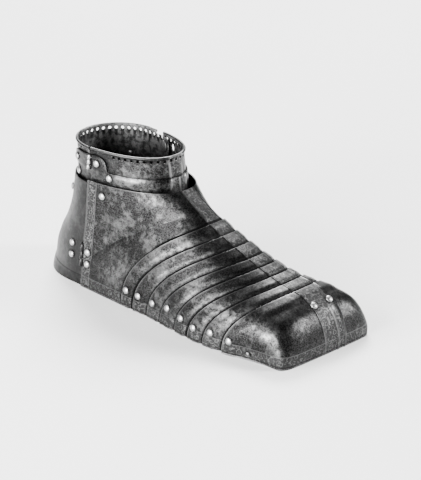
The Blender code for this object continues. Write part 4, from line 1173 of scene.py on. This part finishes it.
# %% Knuckles
def lathe(name, outline, place, wear, sides=28, material=RIVET_STEEL):
    """A solid turned from a half outline of radius and height; both ends lie on the axis."""
    mesh = bmesh.new()
    layer = mesh.verts.layers.float.new("wear")
    rings = []
    for radius, z in outline:
        count = sides if radius > 0 else 1
        ring = [mesh.verts.new(place @ Vector((radius * math.cos(a), radius * math.sin(a), z)))
                for a in (2 * math.pi * i / sides for i in range(count))]
        for vert in ring:
            vert[layer] = wear(z)
        rings.append(ring)
    for low, high in zip(rings, rings[1:]):
        for i in range(sides):
            j = (i + 1) % sides
            corners = [low[i % len(low)], low[j % len(low)], high[j % len(high)], high[i % len(high)]]
            mesh.faces.new(list(dict.fromkeys(corners)))
    made = finished(name, mesh_data(name, mesh), material)
    made.data.set_sharp_from_angle(angle=SHARP_ANGLE)
    return made


def sleeve(name, low, high, body, material):
    """A round skin over one knuckle of the CAD hinge."""
    radius, length, soft = BARREL_RADIUS, high - low, 0.00015
    outline = [(0, 0), (radius - soft, 0), (radius, soft), (radius, length - soft), (radius - soft, length),
               (0, length)]
    made = lathe(name, outline, axis_frame(low), lambda z: 0.6, 24, material)
    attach(made, body)


for place, bottom, top, material in (("heel", HEEL_HINGE_LOW, HEEL_HINGE_HIGH, HEEL_STEEL),
                                     ("collar", HINGE_LOW, HINGE_HIGH, INNER_STEEL)):
    each = (top - bottom) / 3
    for i in range(3):
        sleeve(f"{place}_knuckle_{i + 1}", bottom + i * each + GAP / 2, bottom + (i + 1) * each - GAP / 2,
               "instep" if i == 1 else "heel", material)
for node in ("heel_hinge_front", "heel_hinge_rear", "collar_hinge_pin", "heel_hinge_pin"):
    slots = frame["nodes"][node].data.materials
    slots.clear()
    slots.append(INNER_STEEL)
print("six knuckles")

# %% [markdown]
# ### The rear leaf
# The rear leaf lies flat on the rear collar and tapers to a round end. It is swept like the collar itself, so it
# follows the same curve one step further out.

# %% Rear leaf of the collar hinge
LEAF_END_TURN = 1.778


def leaf_section(turn):
    share = (2 - turn) / (2 - LEAF_END_TURN)
    middle, half = (HINGE_LOW + HINGE_HIGH) / 2, (HINGE_HIGH - HINGE_LOW) / 2
    half *= max(1 - max(0.0, (share - 0.45) / 0.55) ** 3, 0.0) ** 0.5 * 0.85 + 0.15
    return wall_outline(middle - half, middle + half, STEP)


leaf = swept("collar_leaf_fine", list(np.linspace(2 - 0.008, LEAF_END_TURN, 32)), leaf_section,
             lambda p, out, z: {"wear": 0.25})
placed(leaf, "collar_hinge_leaf")
print("rear leaf")

# %% [markdown]
# ## The rivets
# Every rivet head is a low dome on a plate that has gone dark round it. Where each one sits is read from the CAD
# solid itself: its flat side has the widest ring of points, and the line through the middle of all rings is its
# axis. A finer dome of the same size is then turned on that axis.


# %% Rivets
SHANK_RADIUS, WASHER_RADIUS = 0.0014, 0.0021


def rivet(node):
    place, head, tail = rivet_seat(node)
    dome = 0.55 * head
    arc = [(head * math.cos(a), dome * math.sin(a)) for a in np.radians(np.linspace(88, 8, 9))]
    outline = [(0, dome), *arc, (head, 0.0001), (head, -0.00025), (SHANK_RADIUS, -0.0003),
               (SHANK_RADIUS, tail + 0.0012), (WASHER_RADIUS, tail + 0.0010),
               (WASHER_RADIUS * 0.8, tail + 0.0004), (0, tail + 0.0002)]
    made = lathe(node.replace("rivet", "stud") + "_fine", outline, place,
                 lambda z: min(1.0, z / dome) if z > 0 else 0.1)
    return placed(made, node)


rivets = [rivet(node) for node in sorted(frame["nodes"]) if "rivet" in node]
print(len(rivets), "rivets")

# %% [markdown]
# ### The closing stud
# The stud is riveted through the tongue of the rear collar. Its flat disc shows inside. It is turned like the
# rivets, from the CAD solid's place and size.

# %% Closing stud
disc_place, disc, far_end = rivet_seat("closing_stud")
stud_outline = [(0, 0.0003), (disc * 0.35, 0.0003), (disc * 0.5, 0.0), (disc * 0.9, 0.0), (disc, -0.0003),
                (disc, -0.0008), (SHANK_RADIUS, -0.0009), (SHANK_RADIUS, far_end + 0.0010),
                (0.0024, far_end + 0.0009), (0.0024, far_end + 0.0002), (0, far_end)]
stud = lathe("closing_stud_fine", stud_outline, disc_place, lambda z: 0.35, 32, INNER_STEEL)
placed(stud, "closing_stud")
print("closing stud", disc)
